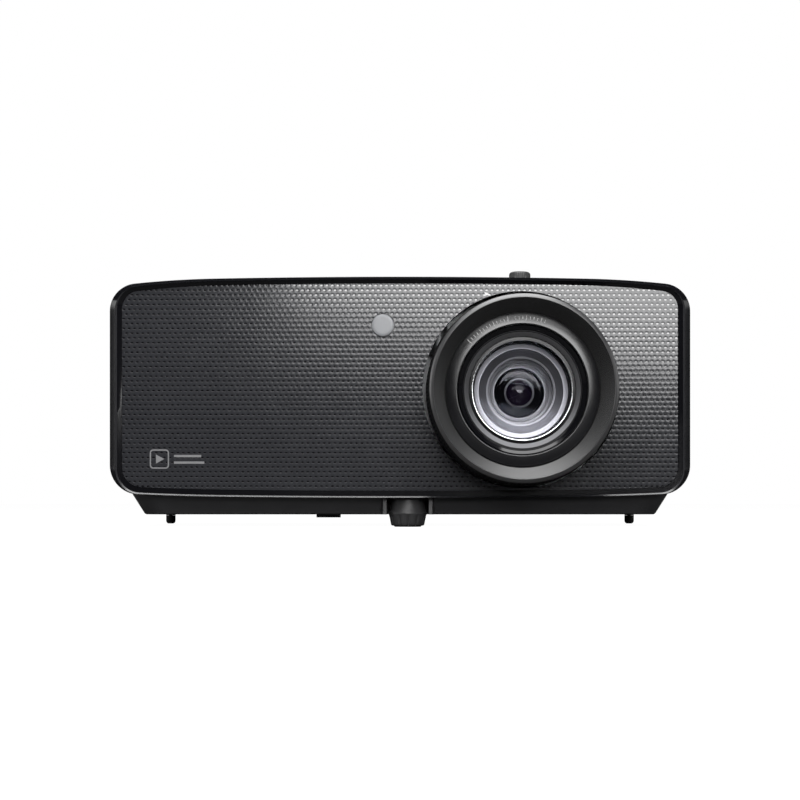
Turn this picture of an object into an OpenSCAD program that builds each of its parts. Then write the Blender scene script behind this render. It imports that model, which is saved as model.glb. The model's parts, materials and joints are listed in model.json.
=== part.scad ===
// Home laser projector: a wide low housing with an offset zoom lens, built as an assembly.
// Front faces -Y and +Z is up. The origin is on the table, under the middle of the overall box.

/* [Housing] */
// Width of the housing at the front bezel
body_w = 374; // [372:1:378]
// Depth of the housing from the bezel's front plane to the rear
body_d = 300; // [298:1:306]
// Height of the bezel's top edge above the table
body_top = 161.4; // [161:0.2:162.4]
// Height of the bezel's bottom edge above the table
body_bottom = 18.6; // [18.4:0.2:19]
// Height of the flat underside above the table
base_z = 8; // [7.8:0.1:8.4]
// Wall thickness of the moulded covers
wall = 2.5; // [2.2:0.1:2.8]

/* [Lens] */
// Sideways place of the lens axis
lens_x = 77.5; // [77:0.1:78]
// Height of the lens axis above the table, with the lens shifted down
lens_z = 87.1; // [87:0.1:88.6]
// How far the focus ring stands out in front of the bezel
lens_reach = 45; // [44:0.5:46]
// Sideways place of the opening that the lens stands in
opening_x = 78; // [77.8:0.1:78.2]
// Height of the middle of that opening
opening_z = 88.5; // [88.2:0.1:88.6]
// Radius of that opening
opening_r = 63.5; // [63.5:0.1:63.8]

/* [Feet] */
// Sideways place of the front foot
front_foot_x = 5; // [4:0.5:6]
// Half the distance between the two rear feet
rear_foot_x = 170; // [168:0.5:170]
// Distance of the rear feet behind the bezel
rear_foot_d = 215; // [213:1:218]

/* [Hidden] */
$fn = 64;

black = "#1a1a1c";
dark = "#2b2c30";
metal = "#9a9ca0";
board_green = "#1f4a33";

bezel_y = lens_reach - (body_d + lens_reach) / 2; // the bezel's front plane
function dy(depth) = bezel_y + depth;             // a place measured back from the bezel
running = 0.06; // radial clearance of a shaft in its bore
seam = 0.3;     // gap where covers and trim meet

// crown radius and its reach, then shoulder radius and its reach
crown = [6000, 120, 600, 171];
sill = [9000, 120, 1500, 169];
bezel_d = 10;
split_z = 42;
frame_side = 7.9;
frame_top = 4.5;
frame_bottom = 4.7;
panel_face = 2.2;
panel_back = 5.2;

base_half = 167.2;     // half the underbody's width at its front, at the underside
base_top_half = 174.5; // and where it meets the housing

ir_x = -11;
ir_z = 130;
ir_r = 7.6;

vent_d = [62, 240];
vent_z = [52, 134];
vent_slats = 20;

rear_window = [[-152, 152], [32, 112]];
rear_plate_d = [body_d - 5.1, body_d - 2.6];
port_face_d = body_d - 2.2;
inlet = [112, 88];
board_z = 46;
board_t = 1.6;
hdmi_x = [-128, -104];
lan_x = -74;
usb_x = -50;
serial_x = -18;
jack_x = [8, 22, 36];

cover_x = [-95, 0];
cover_d = [46, 130];
mount_x = 125;
mount_d = [75, 225];
mount_hole_r = 2.1;
boss_r = 5.5;       // posts that take the mount's and the case's screws
foot_boss_r = 6.5;  // posts that take the feet's threads
screw_x = 150;
screw_d = [36, 262];
screw_seat = 25; // where the underbody's bosses end and the top cover's posts begin

key_centre = [-40, 232];
key_size = [104, 46];
key_plate_z = [156.8, 159.0];
key_flange_z = 154.8;
key_board_z = 146;
key_foot_z = 152;
key_top_z = 159.9;
power_spot = [-40, 0];
menu_spot = [-18, 0];
pad_spot = [26, 0];
pad_reach = 13.5;
lamp_spots = [[-49, 17], [-40, 17], [-31, 17]];
lamp_r = 1.3;
key_lift = 3.6; // height of the switches on the keypad board

knob_x = 79.8;
knob_d = 51;
knob_r = 7.1;
knob_z = [160.6, 169.4];
lead_r = 2.5;

foot_d = 18;
foot_r = 12.5;
foot_pocket_r = 15.8;
foot_stud_r = 3;
pad_r = 9;
tip_r = 3.5;
rear_stud_r = 2.5;

// lens stations are measured forward from the bezel's plane
barrel_r = 44.9;
bore_r = 41.1;
zoom_r = 61;
rim_r = 59.1;
cell_r = 37.8;
glass_r = 32.3;
zoom_glass_r = 18.7;
rear_glass_r = 27;
carriage_d = [47.8, 54];
mount_plate_d = [58, 63];
rod_x = 52;
rod_r = 3;

engine_x = [24, 136];
engine_d = [72, 166];
engine_z = [44, 130];
beam_d = 118; // depth of the light path that crosses the housing
wheel_r = 27;
wheel_z = lens_z - 20;
wheel_shaft_r = 2.4;

fan_size = 76;
fan_x = [160, 178];
fan_centre = [120, 90];
fan_bore_r = 35.5;
shaft_r = 1.5;

// ---------- outlines ----------
// half an edge from its middle outwards: distance out, and drop below the edge's height
function edge(half, e, shrink) =
    let (r1 = e[0], u1 = e[1] - shrink, r2 = e[2], u2 = e[3] - shrink / 4,
         s1 = u1 / r1, d1 = r1 - sqrt(r1 * r1 - u1 * u1),
         s2 = s1 + (u2 - u1) / r2, d2 = d1 + r2 * (cos(asin(s1)) - cos(asin(s2))),
         a2 = asin(s2), r3 = (half - u2) / (1 - s2))
    concat(
        [for (i = [1:3]) let (u = u1 * i / 3) [u, r1 - sqrt(r1 * r1 - u * u)]],
        [for (i = [1:3]) let (s = s1 + (s2 - s1) * i / 3)
            [u1 + r2 * (s - s1), d1 + r2 * (cos(asin(s1)) - cos(asin(s)))]],
        [for (i = [1:7]) let (a = a2 + (90 - a2) * i / 7)
            [u2 + r3 * (sin(a) - s2), d2 + r3 * (cos(a2) - cos(a))]]);

function flip(list) = [for (i = [len(list) - 1:-1:0]) list[i]];
function mirrored(list) = concat(list, [for (p = flip(list)) [-p[0], p[1]]]);

// the housing's outline in X and Z, drawn in at the sides, top and bottom
function outline(side, top, bottom) =
    let (half = body_w / 2 - side,
         up = [for (p = edge(half, crown, side)) [p[0], body_top - top - p[1]]],
         low = [for (p = edge(half, sill, side)) [p[0], body_bottom + bottom + p[1]]])
    mirrored(concat(up, flip(low)));

// points of a lens surface: a shallow arc from the axis out to the rim
function dome(r, sag, z) =
    let (ball = (r * r + sag * sag) / (2 * abs(sag)), s = sign(sag))
    [for (i = [0:8]) let (u = r * i / 8) [u, z + sag - s * (ball - sqrt(ball * ball - u * u))]];

// ---------- shared shapes ----------
module slab(points, d0, d1) {
    translate([0, dy(d1), 0]) rotate([90, 0, 0]) linear_extrude(d1 - d0) polygon(points);
}

module block(x, d, z) {
    translate([x[0], dy(d[0]), z[0]]) cube([x[1] - x[0], d[1] - d[0], z[1] - z[0]]);
}

// a shape turned on the lens axis, from [radius, station] points
module turned(points) {
    translate([lens_x, bezel_y, lens_z]) rotate([90, 0, 0]) rotate_extrude() polygon(points);
}

module bar_x(x, d, z, r) {
    translate([x[0], dy(d), z]) rotate([0, 90, 0]) cylinder(r = r, h = x[1] - x[0]);
}

module bar_y(x, z, r, d) {
    translate([x, dy(d[1]), z]) rotate([90, 0, 0]) cylinder(r = r, h = d[1] - d[0]);
}

module bar_z(x, d, r, z) {
    translate([x, dy(d), z[0]]) cylinder(r = r, h = z[1] - z[0]);
}

module turned_z(x, d, points) {
    translate([x, dy(d), 0]) rotate_extrude() polygon(points);
}

// ---------- covers ----------
module body_form(inset, front, back) {
    hull() {
        slab(outline(1 + inset, 0.8 + inset, 0.6 + inset), front, bezel_d + 1);
        slab(outline(3 + inset, 1.2 + inset, 0.6 + inset),
            body_d - 14 - inset / 4, body_d - 13 - inset / 4);
        slab(outline(8 + inset, 6 + inset, 5 + inset), back - 0.5, back);
    }
}

module body_outer() {
    body_form(0, bezel_d, body_d);
}

module body_inner() {
    body_form(wall, bezel_d - 1, body_d - wall);
}

// plan of the underbody: cut back at the front, wide at the rear
function base_plan(half, front) = mirrored([[half - 10, dy(front)], [half, dy(front + 8)],
    [half + 8.5, dy(165)], [half + 9.5, dy(274)], [half + 0.5, dy(286)]]);

module base_slice(half, front, z) {
    translate([0, 0, z]) linear_extrude(0.1) polygon(base_plan(half, front));
}

module base_form(inset) {
    hull() {
        base_slice(base_half - inset, 17 + inset, base_z + inset);
        base_slice(base_top_half - inset, 10.6 + inset, base_z + 13);
        base_slice(base_top_half - inset, 10.6 + inset, split_z - 4);
    }
}

module rear_window_cut() {
    block(rear_window[0], [body_d - 12, body_d + 1], rear_window[1]);
}

module at_mounts() {
    for (x = [-mount_x, mount_x], d = mount_d) translate([x, dy(d), base_z]) children();
}

module rear_feet_places() {
    for (side = [-1, 1]) translate([side * rear_foot_x, dy(rear_foot_d), 0]) children();
}

module bottom_case() color(black) {
    difference() {
        union() {
            difference() {
                union() {
                    intersection() {
                        body_outer();
                        block([-body_w, body_w], [0, body_d], [0, split_z]);
                    }
                    base_form(0);
                }
                intersection() {
                    body_inner();
                    block([-body_w, body_w], [0, body_d], [base_z + 12, split_z + 1]);
                }
                base_form(wall);
            }
            bar_z(front_foot_x, foot_d, foot_pocket_r + 2, [base_z, 22]);
            bar_z(front_foot_x, foot_d, foot_boss_r, [21, 38]);
            rear_feet_places() translate([0, 0, base_z]) cylinder(r = foot_boss_r, h = 20);
            at_mounts() cylinder(r = boss_r, h = 12);
            corner_screws() cylinder(r = boss_r, h = screw_seat - base_z);
        }
        bar_z(front_foot_x, foot_d, foot_pocket_r, [0, 20]);
        bar_z(front_foot_x, foot_d, foot_stud_r + running, [19, 50]);
        rear_feet_places() cylinder(r = tip_r + 0.6, h = 15);
        rear_feet_places() cylinder(r = rear_stud_r + running, h = 50);
        at_mounts() translate([0, 0, -1]) cylinder(r = mount_hole_r, h = 11);
        block(cover_x, cover_d, [base_z - 1, base_z + 1.2]);
        block([cover_x[0] + 8, cover_x[1] - 8], [cover_d[0] + 8, cover_d[1] - 8],
            [base_z - 1, base_z + 5]);
        block([-body_w, body_w], [0, bezel_d], [0, split_z]);
        rear_window_cut();
        corner_screws() cylinder(r = 1.8, h = 24);
        corner_screws() cylinder(r = 3.6, h = 4);
    }
}

module corner_screws() {
    for (x = [-screw_x, screw_x], d = screw_d) translate([x, dy(d), base_z]) children();
}

// everything under the seam except the screw posts
module below_seam() {
    difference() {
        block([-body_w, body_w], [0, body_d + 1], [0, split_z + seam]);
        corner_screws() translate([0, 0, screw_seat - base_z]) cylinder(r = 5, h = split_z);
    }
}

module top_cover() color(black) {
    difference() {
        union() {
            difference() {
                body_outer();
                body_inner();
            }
            corner_screws() translate([0, 0, screw_seat - base_z + seam]) cylinder(r = 4.5, h = 131);
        }
        corner_screws() cylinder(r = 1.65, h = 32);
        below_seam();
        for (side = [-1, 1]) {
            wall_x = side * (body_w / 2 - 4);
            block([wall_x - 8, wall_x + 8], vent_d, vent_z);
        }
        rear_window_cut();
        key_plate(0, [150, 165]);
        bar_z(knob_x, knob_d, 5, [150, 170]);
        bar_z(knob_x, knob_d, 9, [159.2, 170]);
    }
}

module front_bezel() color("#0c0c0e") {
    difference() {
        hull() {
            slab(outline(2.6, 2.2, 2.2), 0, 1);
            slab(outline(0, 0, 0), 3, bezel_d);
        }
        slab(outline(frame_side, frame_top, frame_bottom), -1, panel_back);
        slab(outline(frame_side + 4, frame_top + 4, frame_bottom + 4), 1, bezel_d + 1);
        bar_y(opening_x, opening_z, opening_r + 4, [panel_back - 0.01, bezel_d + 1]);
    }
}

module front_panel() color("#3c3d42") {
    difference() {
        slab(outline(frame_side + 0.15, frame_top + 0.15, frame_bottom + 0.15), panel_face, panel_back);
        bar_y(opening_x, opening_z, opening_r, [0, bezel_d]);
        bar_y(ir_x, ir_z, ir_r + 0.1, [0, bezel_d]);
    }
}

module lens_dust_ring() color("#0c0c0e") {
    difference() {
        union() {
            bar_y(opening_x, opening_z, opening_r + 3.5, [panel_back, panel_back + 1.5]);
            bar_y(opening_x, opening_z, opening_r + 1.5, [panel_back, panel_back + 8]);
        }
        bar_y(opening_x, opening_z, opening_r, [0, 20]);
    }
}

module ir_window() color("#77787c") {
    bar_y(ir_x, ir_z, ir_r, [panel_face - 0.3, panel_back]);
    bar_y(ir_x, ir_z, ir_r + 1.6, [panel_back, panel_back + 1.2]);
}

module ir_receiver() color(board_green) {
    block([ir_x - 10, ir_x + 10], [16, 17.6], [ir_z - 9, ir_z + 9]);
    block([ir_x - 3.5, ir_x + 3.5], [12, 16], [ir_z - 4, ir_z + 4]);
    bar_y(ir_x, ir_z, 2.4, [10.2, 12]);
}

module vent_grille(side) color(dark) {
    face = body_w / 2 - 3;
    x = side > 0 ? [face - 3, face] : [-face, -face + 3];
    gap = seam / 2;
    d = [vent_d[0] + gap, vent_d[1] - gap];
    z = [vent_z[0] + gap, vent_z[1] - gap];
    pitch = (d[1] - d[0] - 6) / vent_slats;
    difference() {
        block(x, d, z);
        for (i = [0:vent_slats - 1]) {
            start = d[0] + 3 + pitch * i;
            for (row = [0:2]) {
                low = z[0] + 4 + row * (z[1] - z[0] - 6) / 3;
                block([x[0] - 1, x[1] + 1], [start + 1, start + pitch - 1], [low, low + 22.5]);
            }
        }
    }
}

module left_vent_grille() vent_grille(-1);
module right_vent_grille() vent_grille(1);

module rear_panel() color(black) {
    z0 = board_z + board_t;
    difference() {
        block([rear_window[0][0] - 3, rear_window[0][1] + 3], rear_plate_d,
            [rear_window[1][0] - 3, rear_window[1][1] + 3]);
        for (x = hdmi_x) port_hole(x, 16, z0, 6.4);
        port_hole(lan_x, 17, z0, 14);
        port_hole(usb_x, 15, z0, 7.6);
        port_hole(serial_x, 32, z0, 13);
        for (x = jack_x) port_hole(x, 9, z0, 9);
        port_hole(inlet[0], 28.2, inlet[1] - 10.6, 21);
        port_hole(140, 7.2, 86, 3.2);
    }
}

module port_hole(x, width, z, height) {
    gap = 0.2;
    block([x - width / 2 - gap, x + width / 2 + gap], [body_d - 10, body_d + 2],
        [z - gap, z + height + gap]);
}

module air_cover() color(dark) {
    gap = 0.25;
    tab = [(cover_x[0] + cover_x[1]) / 2 - 8, (cover_x[0] + cover_x[1]) / 2 + 8];
    difference() {
        union() {
            block([cover_x[0] + gap, cover_x[1] - gap], [cover_d[0] + gap, cover_d[1] - gap],
                [base_z, base_z + 1.15]);
            block(tab, [cover_d[0] + gap, cover_d[0] + 6], [base_z - 2.2, base_z + 0.2]);
        }
        for (i = [0:7], j = [0:2])
            block([cover_x[0] + 12 + i * 9, cover_x[0] + 17 + i * 9],
                [cover_d[0] + 12 + j * 22, cover_d[0] + 30 + j * 22], [0, base_z + 2]);
    }
}

module case_screws() color(metal) {
    corner_screws() {
        translate([0, 0, 1.6]) cylinder(r = 3.2, h = 2.3);
        translate([0, 0, 3.8]) cylinder(r = 1.6, h = 26);
    }
}

// ---------- keypad ----------
module at_key(spot) {
    translate([key_centre[0] + spot[0], dy(key_centre[1]) + spot[1], 0]) children();
}

// a plate under the keys, larger than the keypad's cut-out by grow on every side
module key_plate(grow, z) {
    block([key_centre[0] - key_size[0] / 2 - grow, key_centre[0] + key_size[0] / 2 + grow],
        [key_centre[1] - key_size[1] / 2 - grow, key_centre[1] + key_size[1] / 2 + grow], z);
}

module key_outlines(grow) {
    at_key(power_spot) circle(r = 7 + grow);
    at_key(menu_spot) circle(r = 5.5 + grow);
    at_key(pad_spot) circle(r = 6.5 + grow);
    for (a = [0, 90, 180, 270]) at_key(pad_spot) rotate(a) arrow_outline(grow);
}

module arrow_outline(grow) {
    translate([pad_reach, 0]) square([8 + 2 * grow, 12 + 2 * grow], center = true);
}

module keypad_panel() color("#101012") {
    difference() {
        union() {
            key_plate(-seam / 2, key_plate_z);
            key_plate(2.5, [key_flange_z, key_plate_z[0]]);
        }
        translate([0, 0, key_flange_z - 1]) linear_extrude(8) key_outlines(0.3);
        for (spot = lamp_spots)
            at_key(spot) translate([0, 0, key_board_z + 4]) cylinder(r = lamp_r + 0.1, h = 12);
    }
}

module keypad_board() color(board_green) {
    block([key_centre[0] - 50, key_centre[0] + 50], [key_centre[1] - 20, key_centre[1] + 20],
        [key_board_z, key_board_z + board_t]);
    for (spot = [power_spot, menu_spot, pad_spot])
        at_key(spot) translate([-3, -3, key_board_z + board_t]) cube([6, 6, key_lift]);
    for (a = [0, 90, 180, 270]) at_key(pad_spot) rotate(a)
        translate([pad_reach - 3, -3, key_board_z + board_t]) cube([6, 6, key_lift]);
    for (spot = lamp_spots) at_key(spot) translate([0, 0, key_board_z + board_t])
        cylinder(r = lamp_r, h = key_plate_z[1] - key_board_z - board_t - 0.1);
}

module round_key(spot, r) color(dark) {
    at_key(spot) {
        translate([0, 0, key_foot_z]) cylinder(r = 2, h = 3);
        translate([0, 0, key_foot_z + 1.5]) cylinder(r = r, h = key_top_z - key_foot_z - 1.5);
    }
}

module arrow_key(angle) color(dark) {
    at_key(pad_spot) rotate(angle) translate([pad_reach, 0, 0]) {
        translate([0, 0, key_foot_z]) cylinder(r = 2, h = 3);
        translate([-4, -6, key_foot_z + 1.5]) cube([8, 12, key_top_z - key_foot_z - 1.5]);
    }
}

module power_button() round_key(power_spot, 7);
module menu_button() round_key(menu_spot, 5.5);
module enter_button() round_key(pad_spot, 6.5);
module right_button() arrow_key(0);
module up_button() arrow_key(90);
module left_button() arrow_key(180);
module down_button() arrow_key(270);

// ---------- lens ----------
module shift_knob() color(dark) {
    turned_z(knob_x, knob_d, [[0, 141], [lead_r, 141], [lead_r, 155.8], [4, 155.8], [4, knob_z[0]],
        [knob_r, knob_z[0]], [knob_r, knob_z[1] - 4], [knob_r - 0.5, knob_z[1] - 2.2],
        [knob_r - 1.8, knob_z[1] - 0.6], [knob_r - 3, knob_z[1]], [0, knob_z[1]]]);
}

module lens_mount() color(metal) {
    difference() {
        block([lens_x - 64, lens_x + 64], mount_plate_d, [base_z + 3, 151]);
        bar_y(lens_x, lens_z, 50, [50, 70]);
    }
    difference() {
        union() {
            block([knob_x - 10, knob_x + 10], [44, mount_plate_d[0]], [151.9, 155.4]);
            block([knob_x - 10, knob_x + 10], [mount_plate_d[0] - 0.01, mount_plate_d[1]], [150, 155.4]);
        }
        bar_z(knob_x, knob_d, lead_r + running, [140, 160]);
    }
    for (side = [-1, 1]) {
        x = lens_x + side * rod_x;
        bar_z(x, 51, rod_r, [30, 147]);
        block([x - 6, x + 6], [45, mount_plate_d[0]], [26, 31]);
        block([x - 6, x + 6], [45, mount_plate_d[0]], [146, 151]);
    }
}

module lens_carriage() color("#3a3b40") {
    difference() {
        union() {
            block([lens_x - 46, lens_x + 46], carriage_d, [36, 141]);
            for (side = [-1, 1], z = [[42, 62], [114, 134]])
                bar_z(lens_x + side * rod_x, 51, 6.5, z);
            block([knob_x - 8, knob_x + 8], [45.5, 56.5], [141 - 0.01, 147]);
        }
        bar_y(lens_x, lens_z, barrel_r + 0.05, [40, 60]);
        for (side = [-1, 1]) bar_z(lens_x + side * rod_x, 51, rod_r + running, [20, 160]);
        bar_z(knob_x, knob_d, lead_r + running, [132, 160]);
    }
}

module lens_barrel() color(black) {
    turned([[bore_r, -60], [bore_r, 24.2], [barrel_r, 24.2], [barrel_r, -10], [48, -10], [48, -14],
        [barrel_r, -14], [barrel_r, -42.5], [50, -42.5], [50, -47.8], [barrel_r, -47.8],
        [barrel_r, -66], [rear_glass_r + 4, -66], [rear_glass_r + 4, -84], [rear_glass_r + 0.1, -84],
        [rear_glass_r + 0.1, -64], [rear_glass_r - 2, -64], [rear_glass_r - 2, -60]]);
}

module lens_name_ring() color(dark) {
    turned([[bore_r, 24.2], [barrel_r, 24.2], [barrel_r, 24.6], [48.6, 24.6], [48.6, 25],
        [42.2, 28.2], [41.5, 28.2], [bore_r, 27.8]]);
}

module zoom_ring() color(black) {
    turned([[barrel_r + running, -9.7], [48, -9.7], [48, 7], [59.6, 7], [59.6, -6], [zoom_r, -6],
        [zoom_r, 14], [zoom_r - 1, 15], [barrel_r + running, 15]]);
}

module focus_ring() color(dark) {
    turned([[barrel_r + running, 16], [60.2, 16], [60.9, 16.8], [rim_r, 43.8], [rim_r - 0.8, 45],
        [57.2, 45], [56.3, 43.6], [49.2, 24.1], [barrel_r + running, 24.1]]);
}

module front_cell() color(black) {
    turned([[34, -6], [bore_r - running, -6], [bore_r - running, 3], [cell_r, 4.5], [cell_r, 17],
        [36.8, 18.5], [33.9, 20.4], [glass_r + 0.05, 20.4], [glass_r + 0.05, 10.5], [30.8, 10.5],
        [30.8, 8], [34, 4]]);
}

module front_retainer() color("#b8babd") {
    turned([[31.2, 20.5], [33.8, 20.5], [33.4, 21.6], [32.5, 22.4], [31.9, 22.4], [31.2, 21.2]]);
}

module front_glass() color("#8fa0b0", 0.5) {
    turned(concat(dome(31.1, 3.4, 20.4), [[glass_r, 20.3], [glass_r, 10.6]],
        flip(dome(30.7, -2.2, 10.6))));
}

module zoom_cell() color("#9b9ca2") {
    turned([[zoom_glass_r + 0.1, -16], [25.4, -10], [27, -10], [28, -22], [bore_r - running, -24],
        [bore_r - running, -44], [zoom_glass_r - 1.5, -44], [zoom_glass_r - 1.5, -27],
        [zoom_glass_r + 0.1, -27]]);
}

module zoom_glass() color("#8fa0b0", 0.5) {
    turned(concat(dome(zoom_glass_r, 3, -20), flip(dome(zoom_glass_r, -1.5, -25))));
}

module rear_glass() color("#8fa0b0", 0.5) {
    turned(concat(dome(rear_glass_r, 2.5, -67.5), flip(dome(rear_glass_r, -3, -78))));
}

// ---------- light engine ----------
module light_engine_case() color(metal) {
    difference() {
        block(engine_x, engine_d, engine_z);
        block([engine_x[0] + 3, engine_x[1] - 3], [engine_d[0] + 3, engine_d[1] - 3],
            [engine_z[0] + 3, engine_z[1] - 3]);
        bar_y(lens_x, lens_z, rear_glass_r + 9, [60, 80]);
        block([lens_x - 14, lens_x + 14], [150, 170], [lens_z - 10, lens_z + 10]);
        block([engine_x[0] - 1, engine_x[0] + 4], [beam_d - 8, beam_d + 8], [lens_z - 8, lens_z + 8]);
    }
    for (x = [engine_x[0] + 8, engine_x[1] - 24], d = [engine_d[0] + 10, engine_d[1] - 10])
        bar_z(x, d, 4, [base_z + 3, engine_z[0]]);
}

module prism() color("#a9c4d4", 0.6) {
    size = 17;
    for (half = [0, 1]) translate([lens_x, dy(beam_d), lens_z - size]) rotate(half * 180)
        translate([0.05, 0.05, 0]) linear_extrude(2 * size)
            polygon([[size, -size + 0.1], [size, size], [-size + 0.1, size]]);
}

module dmd_board() color(board_green) {
    block([lens_x - 32, lens_x + 32], [engine_d[1] + 0.5, engine_d[1] + 2.1],
        [lens_z - 26, lens_z + 26]);
    block([lens_x - 13, lens_x + 13], [engine_d[1] - 4, engine_d[1] + 0.5], [lens_z - 9, lens_z + 9]);
}

module dmd_heatsink() color(metal) {
    block([lens_x - 28, lens_x + 28], [engine_d[1] + 2.2, engine_d[1] + 6], [lens_z - 22, lens_z + 22]);
    for (i = [-4:4])
        block([lens_x + i * 6 - 0.8, lens_x + i * 6 + 0.8], [engine_d[1] + 6 - 0.01, engine_d[1] + 26],
            [lens_z - 22, lens_z + 22]);
}

module light_tunnel() color(metal) {
    difference() {
        block([-14, 40], [beam_d - 7, beam_d + 7], [lens_z - 7, lens_z + 7]);
        block([-15, 41], [beam_d - 4, beam_d + 4], [lens_z - 3, lens_z + 3]);
    }
}

module phosphor_motor() color(metal) {
    bar_x([-34, -22], beam_d, wheel_z, 11);
    bar_x([-22.01, -17], beam_d, wheel_z, wheel_shaft_r);
    block([-34, -30], [beam_d - 15, beam_d + 15], [14, lens_z - 28]);
}

module phosphor_wheel() color("#d8c04a") {
    difference() {
        union() {
            bar_x([-19.5, -17.9], beam_d, wheel_z, wheel_r);
            bar_x([-21.5, -16.5], beam_d, wheel_z, 7);
        }
        bar_x([-30, -10], beam_d, wheel_z, wheel_shaft_r + running);
    }
}

module laser_module() color("#b08a4a") {
    block([-76, -44], [92, 146], [62, 114]);
    for (d = [0:3], z = [0:3]) bar_x([-44.01, -39], 99 + d * 13, 68 + z * 13, 4.2);
}

module laser_heatsink() color(metal) {
    block([-84, -76.1], [84, 156], [52, 124]);
    for (i = [0:13]) block([-150, -83.99], [84 + i * 5.4, 85.4 + i * 5.4], [52, 124]);
    for (z = [68, 88, 108]) bar_x([-150, -80], 120, z, 3);
}

// ---------- electronics ----------
// a square package on the main board
module chip(x, d, size, height) {
    translate([x - size / 2, dy(d) - size / 2, board_z + board_t - 0.01]) cube([size, size, height]);
}

module main_board() color(board_green) {
    block([-142, 44], [180, 290], [board_z, board_z + board_t]);
    chip(-110, 215, 24, 3);
    chip(-60, 210, 34, 3);
    chip(-8, 215, 20, 3);
    chip(24, 240, 14, 8);
    chip(-20, 250, 16, 2.5);
    for (x = [-134, 36], d = [188, 268]) bar_z(x, d, 3, [base_z + 3, board_z]);
}

module power_supply() color("#6a5a3a") {
    block([50, 142], [205, 286], [24, 26]);
    block([58, 86], [212, 240], [26 - 0.01, 58]);
    block([94, 118], [215, 236], [26 - 0.01, 52]);
    for (x = [62, 80, 132], d = [256, 272]) bar_z(x, d, 7, [26 - 0.01, 56]);
    block([98, 122], [246, 250], [26 - 0.01, 60]);
    for (x = [55, 137], d = [209, 282]) bar_z(x, d, 3, [base_z + 3, 24]);
}

module power_inlet() color("#151517") {
    difference() {
        union() {
            block([inlet[0] - 14, inlet[0] + 14], [port_face_d - 22, port_face_d],
                [inlet[1] - 10.5, inlet[1] + 10.3]);
            block([inlet[0] - 17, inlet[0] + 17], [rear_plate_d[0] - 2.2, rear_plate_d[0] - 0.1],
                [inlet[1] - 13, inlet[1] + 13]);
        }
        block([inlet[0] - 12.4, inlet[0] + 12.4], [port_face_d - 17, port_face_d + 1],
            [inlet[1] - 8.4, inlet[1] + 8.4]);
    }
    for (pin = [[-7, -3.5], [7, -3.5], [0, 4]])
        block([inlet[0] + pin[0] - 1, inlet[0] + pin[0] + 1], [port_face_d - 17.1, port_face_d - 3],
            [inlet[1] + pin[1] - 2, inlet[1] + pin[1] + 2]);
}

// a metal-shelled socket standing on the main board, with a tongue inside
module socket(x, width, height, depth, shell, tongue) {
    z0 = board_z + board_t;
    difference() {
        block([x - width / 2, x + width / 2], [port_face_d - depth, port_face_d], [z0, z0 + height]);
        block([x - width / 2 + shell, x + width / 2 - shell], [port_face_d - depth + 3, port_face_d + 1],
            [z0 + shell, z0 + height - shell]);
    }
    if (tongue > 0)
        block([x - width / 2 + shell + 1, x + width / 2 - shell - 1],
            [port_face_d - depth + 2.9, port_face_d - 1.5],
            [z0 + height / 2 - tongue / 2, z0 + height / 2 + tongue / 2]);
}

module hdmi_ports() color(metal) {
    for (x = hdmi_x) socket(x, 15.4, 6, 12, 0.6, 1.2);
}

module data_ports() color(metal) {
    z0 = board_z + board_t;
    socket(lan_x, 16.4, 13.6, 20, 1.6, 0);
    socket(usb_x, 14.4, 7.2, 14, 0.6, 1.8);
    difference() {
        block([serial_x - 15.5, serial_x + 15.5], [port_face_d - 12, port_face_d], [z0, z0 + 12.4]);
        block([serial_x - 8.5, serial_x + 8.5], [port_face_d - 5, port_face_d + 1], [z0 + 2.4, z0 + 10]);
        for (side = [-1, 1])
            bar_y(serial_x + side * 12.5, z0 + 6.2, 1.6, [port_face_d - 6, port_face_d + 1]);
    }
    pin_d = [port_face_d - 5.1, port_face_d - 0.8];
    for (i = [-2:2]) bar_y(serial_x + i * 2.8, z0 + 7.6, 0.5, pin_d);
    for (i = [-1.5:1.5]) bar_y(serial_x + i * 2.8, z0 + 4.8, 0.5, pin_d);
}

module audio_jacks() color("#202024") {
    z0 = board_z + board_t;
    for (x = jack_x) difference() {
        union() {
            block([x - 5, x + 5], [port_face_d - 14, rear_plate_d[0] - 0.2], [z0, z0 + 9]);
            bar_y(x, z0 + 4.5, 3.6, [port_face_d - 10, port_face_d]);
        }
        bar_y(x, z0 + 4.5, 1.8, [port_face_d - 12.5, port_face_d + 1]);
    }
}

// ---------- fans and sound ----------
// an axial fan with its shaft along X, side -1 on the left and 1 on the right
module at_fan(side) {
    translate([side * (fan_x[0] + fan_x[1]) / 2, dy(fan_centre[0]), fan_centre[1]])
        rotate([0, side * 90, 0]) children();
}

module fan_frame(side) color(black) {
    half = (fan_x[1] - fan_x[0]) / 2;
    at_fan(side) {
        difference() {
            translate([-fan_size / 2, -fan_size / 2, -half]) cube([fan_size, fan_size, 2 * half]);
            cylinder(r = fan_bore_r, h = 40, center = true);
            for (x = [-1, 1], y = [-1, 1]) translate([x * 33.5, y * 33.5, 0])
                cylinder(r = 2.2, h = 40, center = true);
        }
        translate([0, 0, -half]) cylinder(r = 14, h = 2.5);
        for (a = [45, 135, 225, 315]) rotate(a) translate([12, -1.5, -half]) cube([24, 3, 2.5]);
        translate([0, 0, -half + 2.49]) cylinder(r = shaft_r, h = 11);
    }
}

module fan_rotor(side) color(dark) {
    half = (fan_x[1] - fan_x[0]) / 2;
    at_fan(side) {
        difference() {
            translate([0, 0, -half + 3.2]) cylinder(r = 15, h = 13.5);
            cylinder(r = shaft_r + running, h = 60, center = true);
        }
        for (i = [0:6]) rotate(i * 360 / 7) translate([14.5, 0, 1.2]) rotate([38, 0, 0])
            translate([0, -8, -0.8]) cube([19, 16, 1.6]);
    }
}

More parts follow.
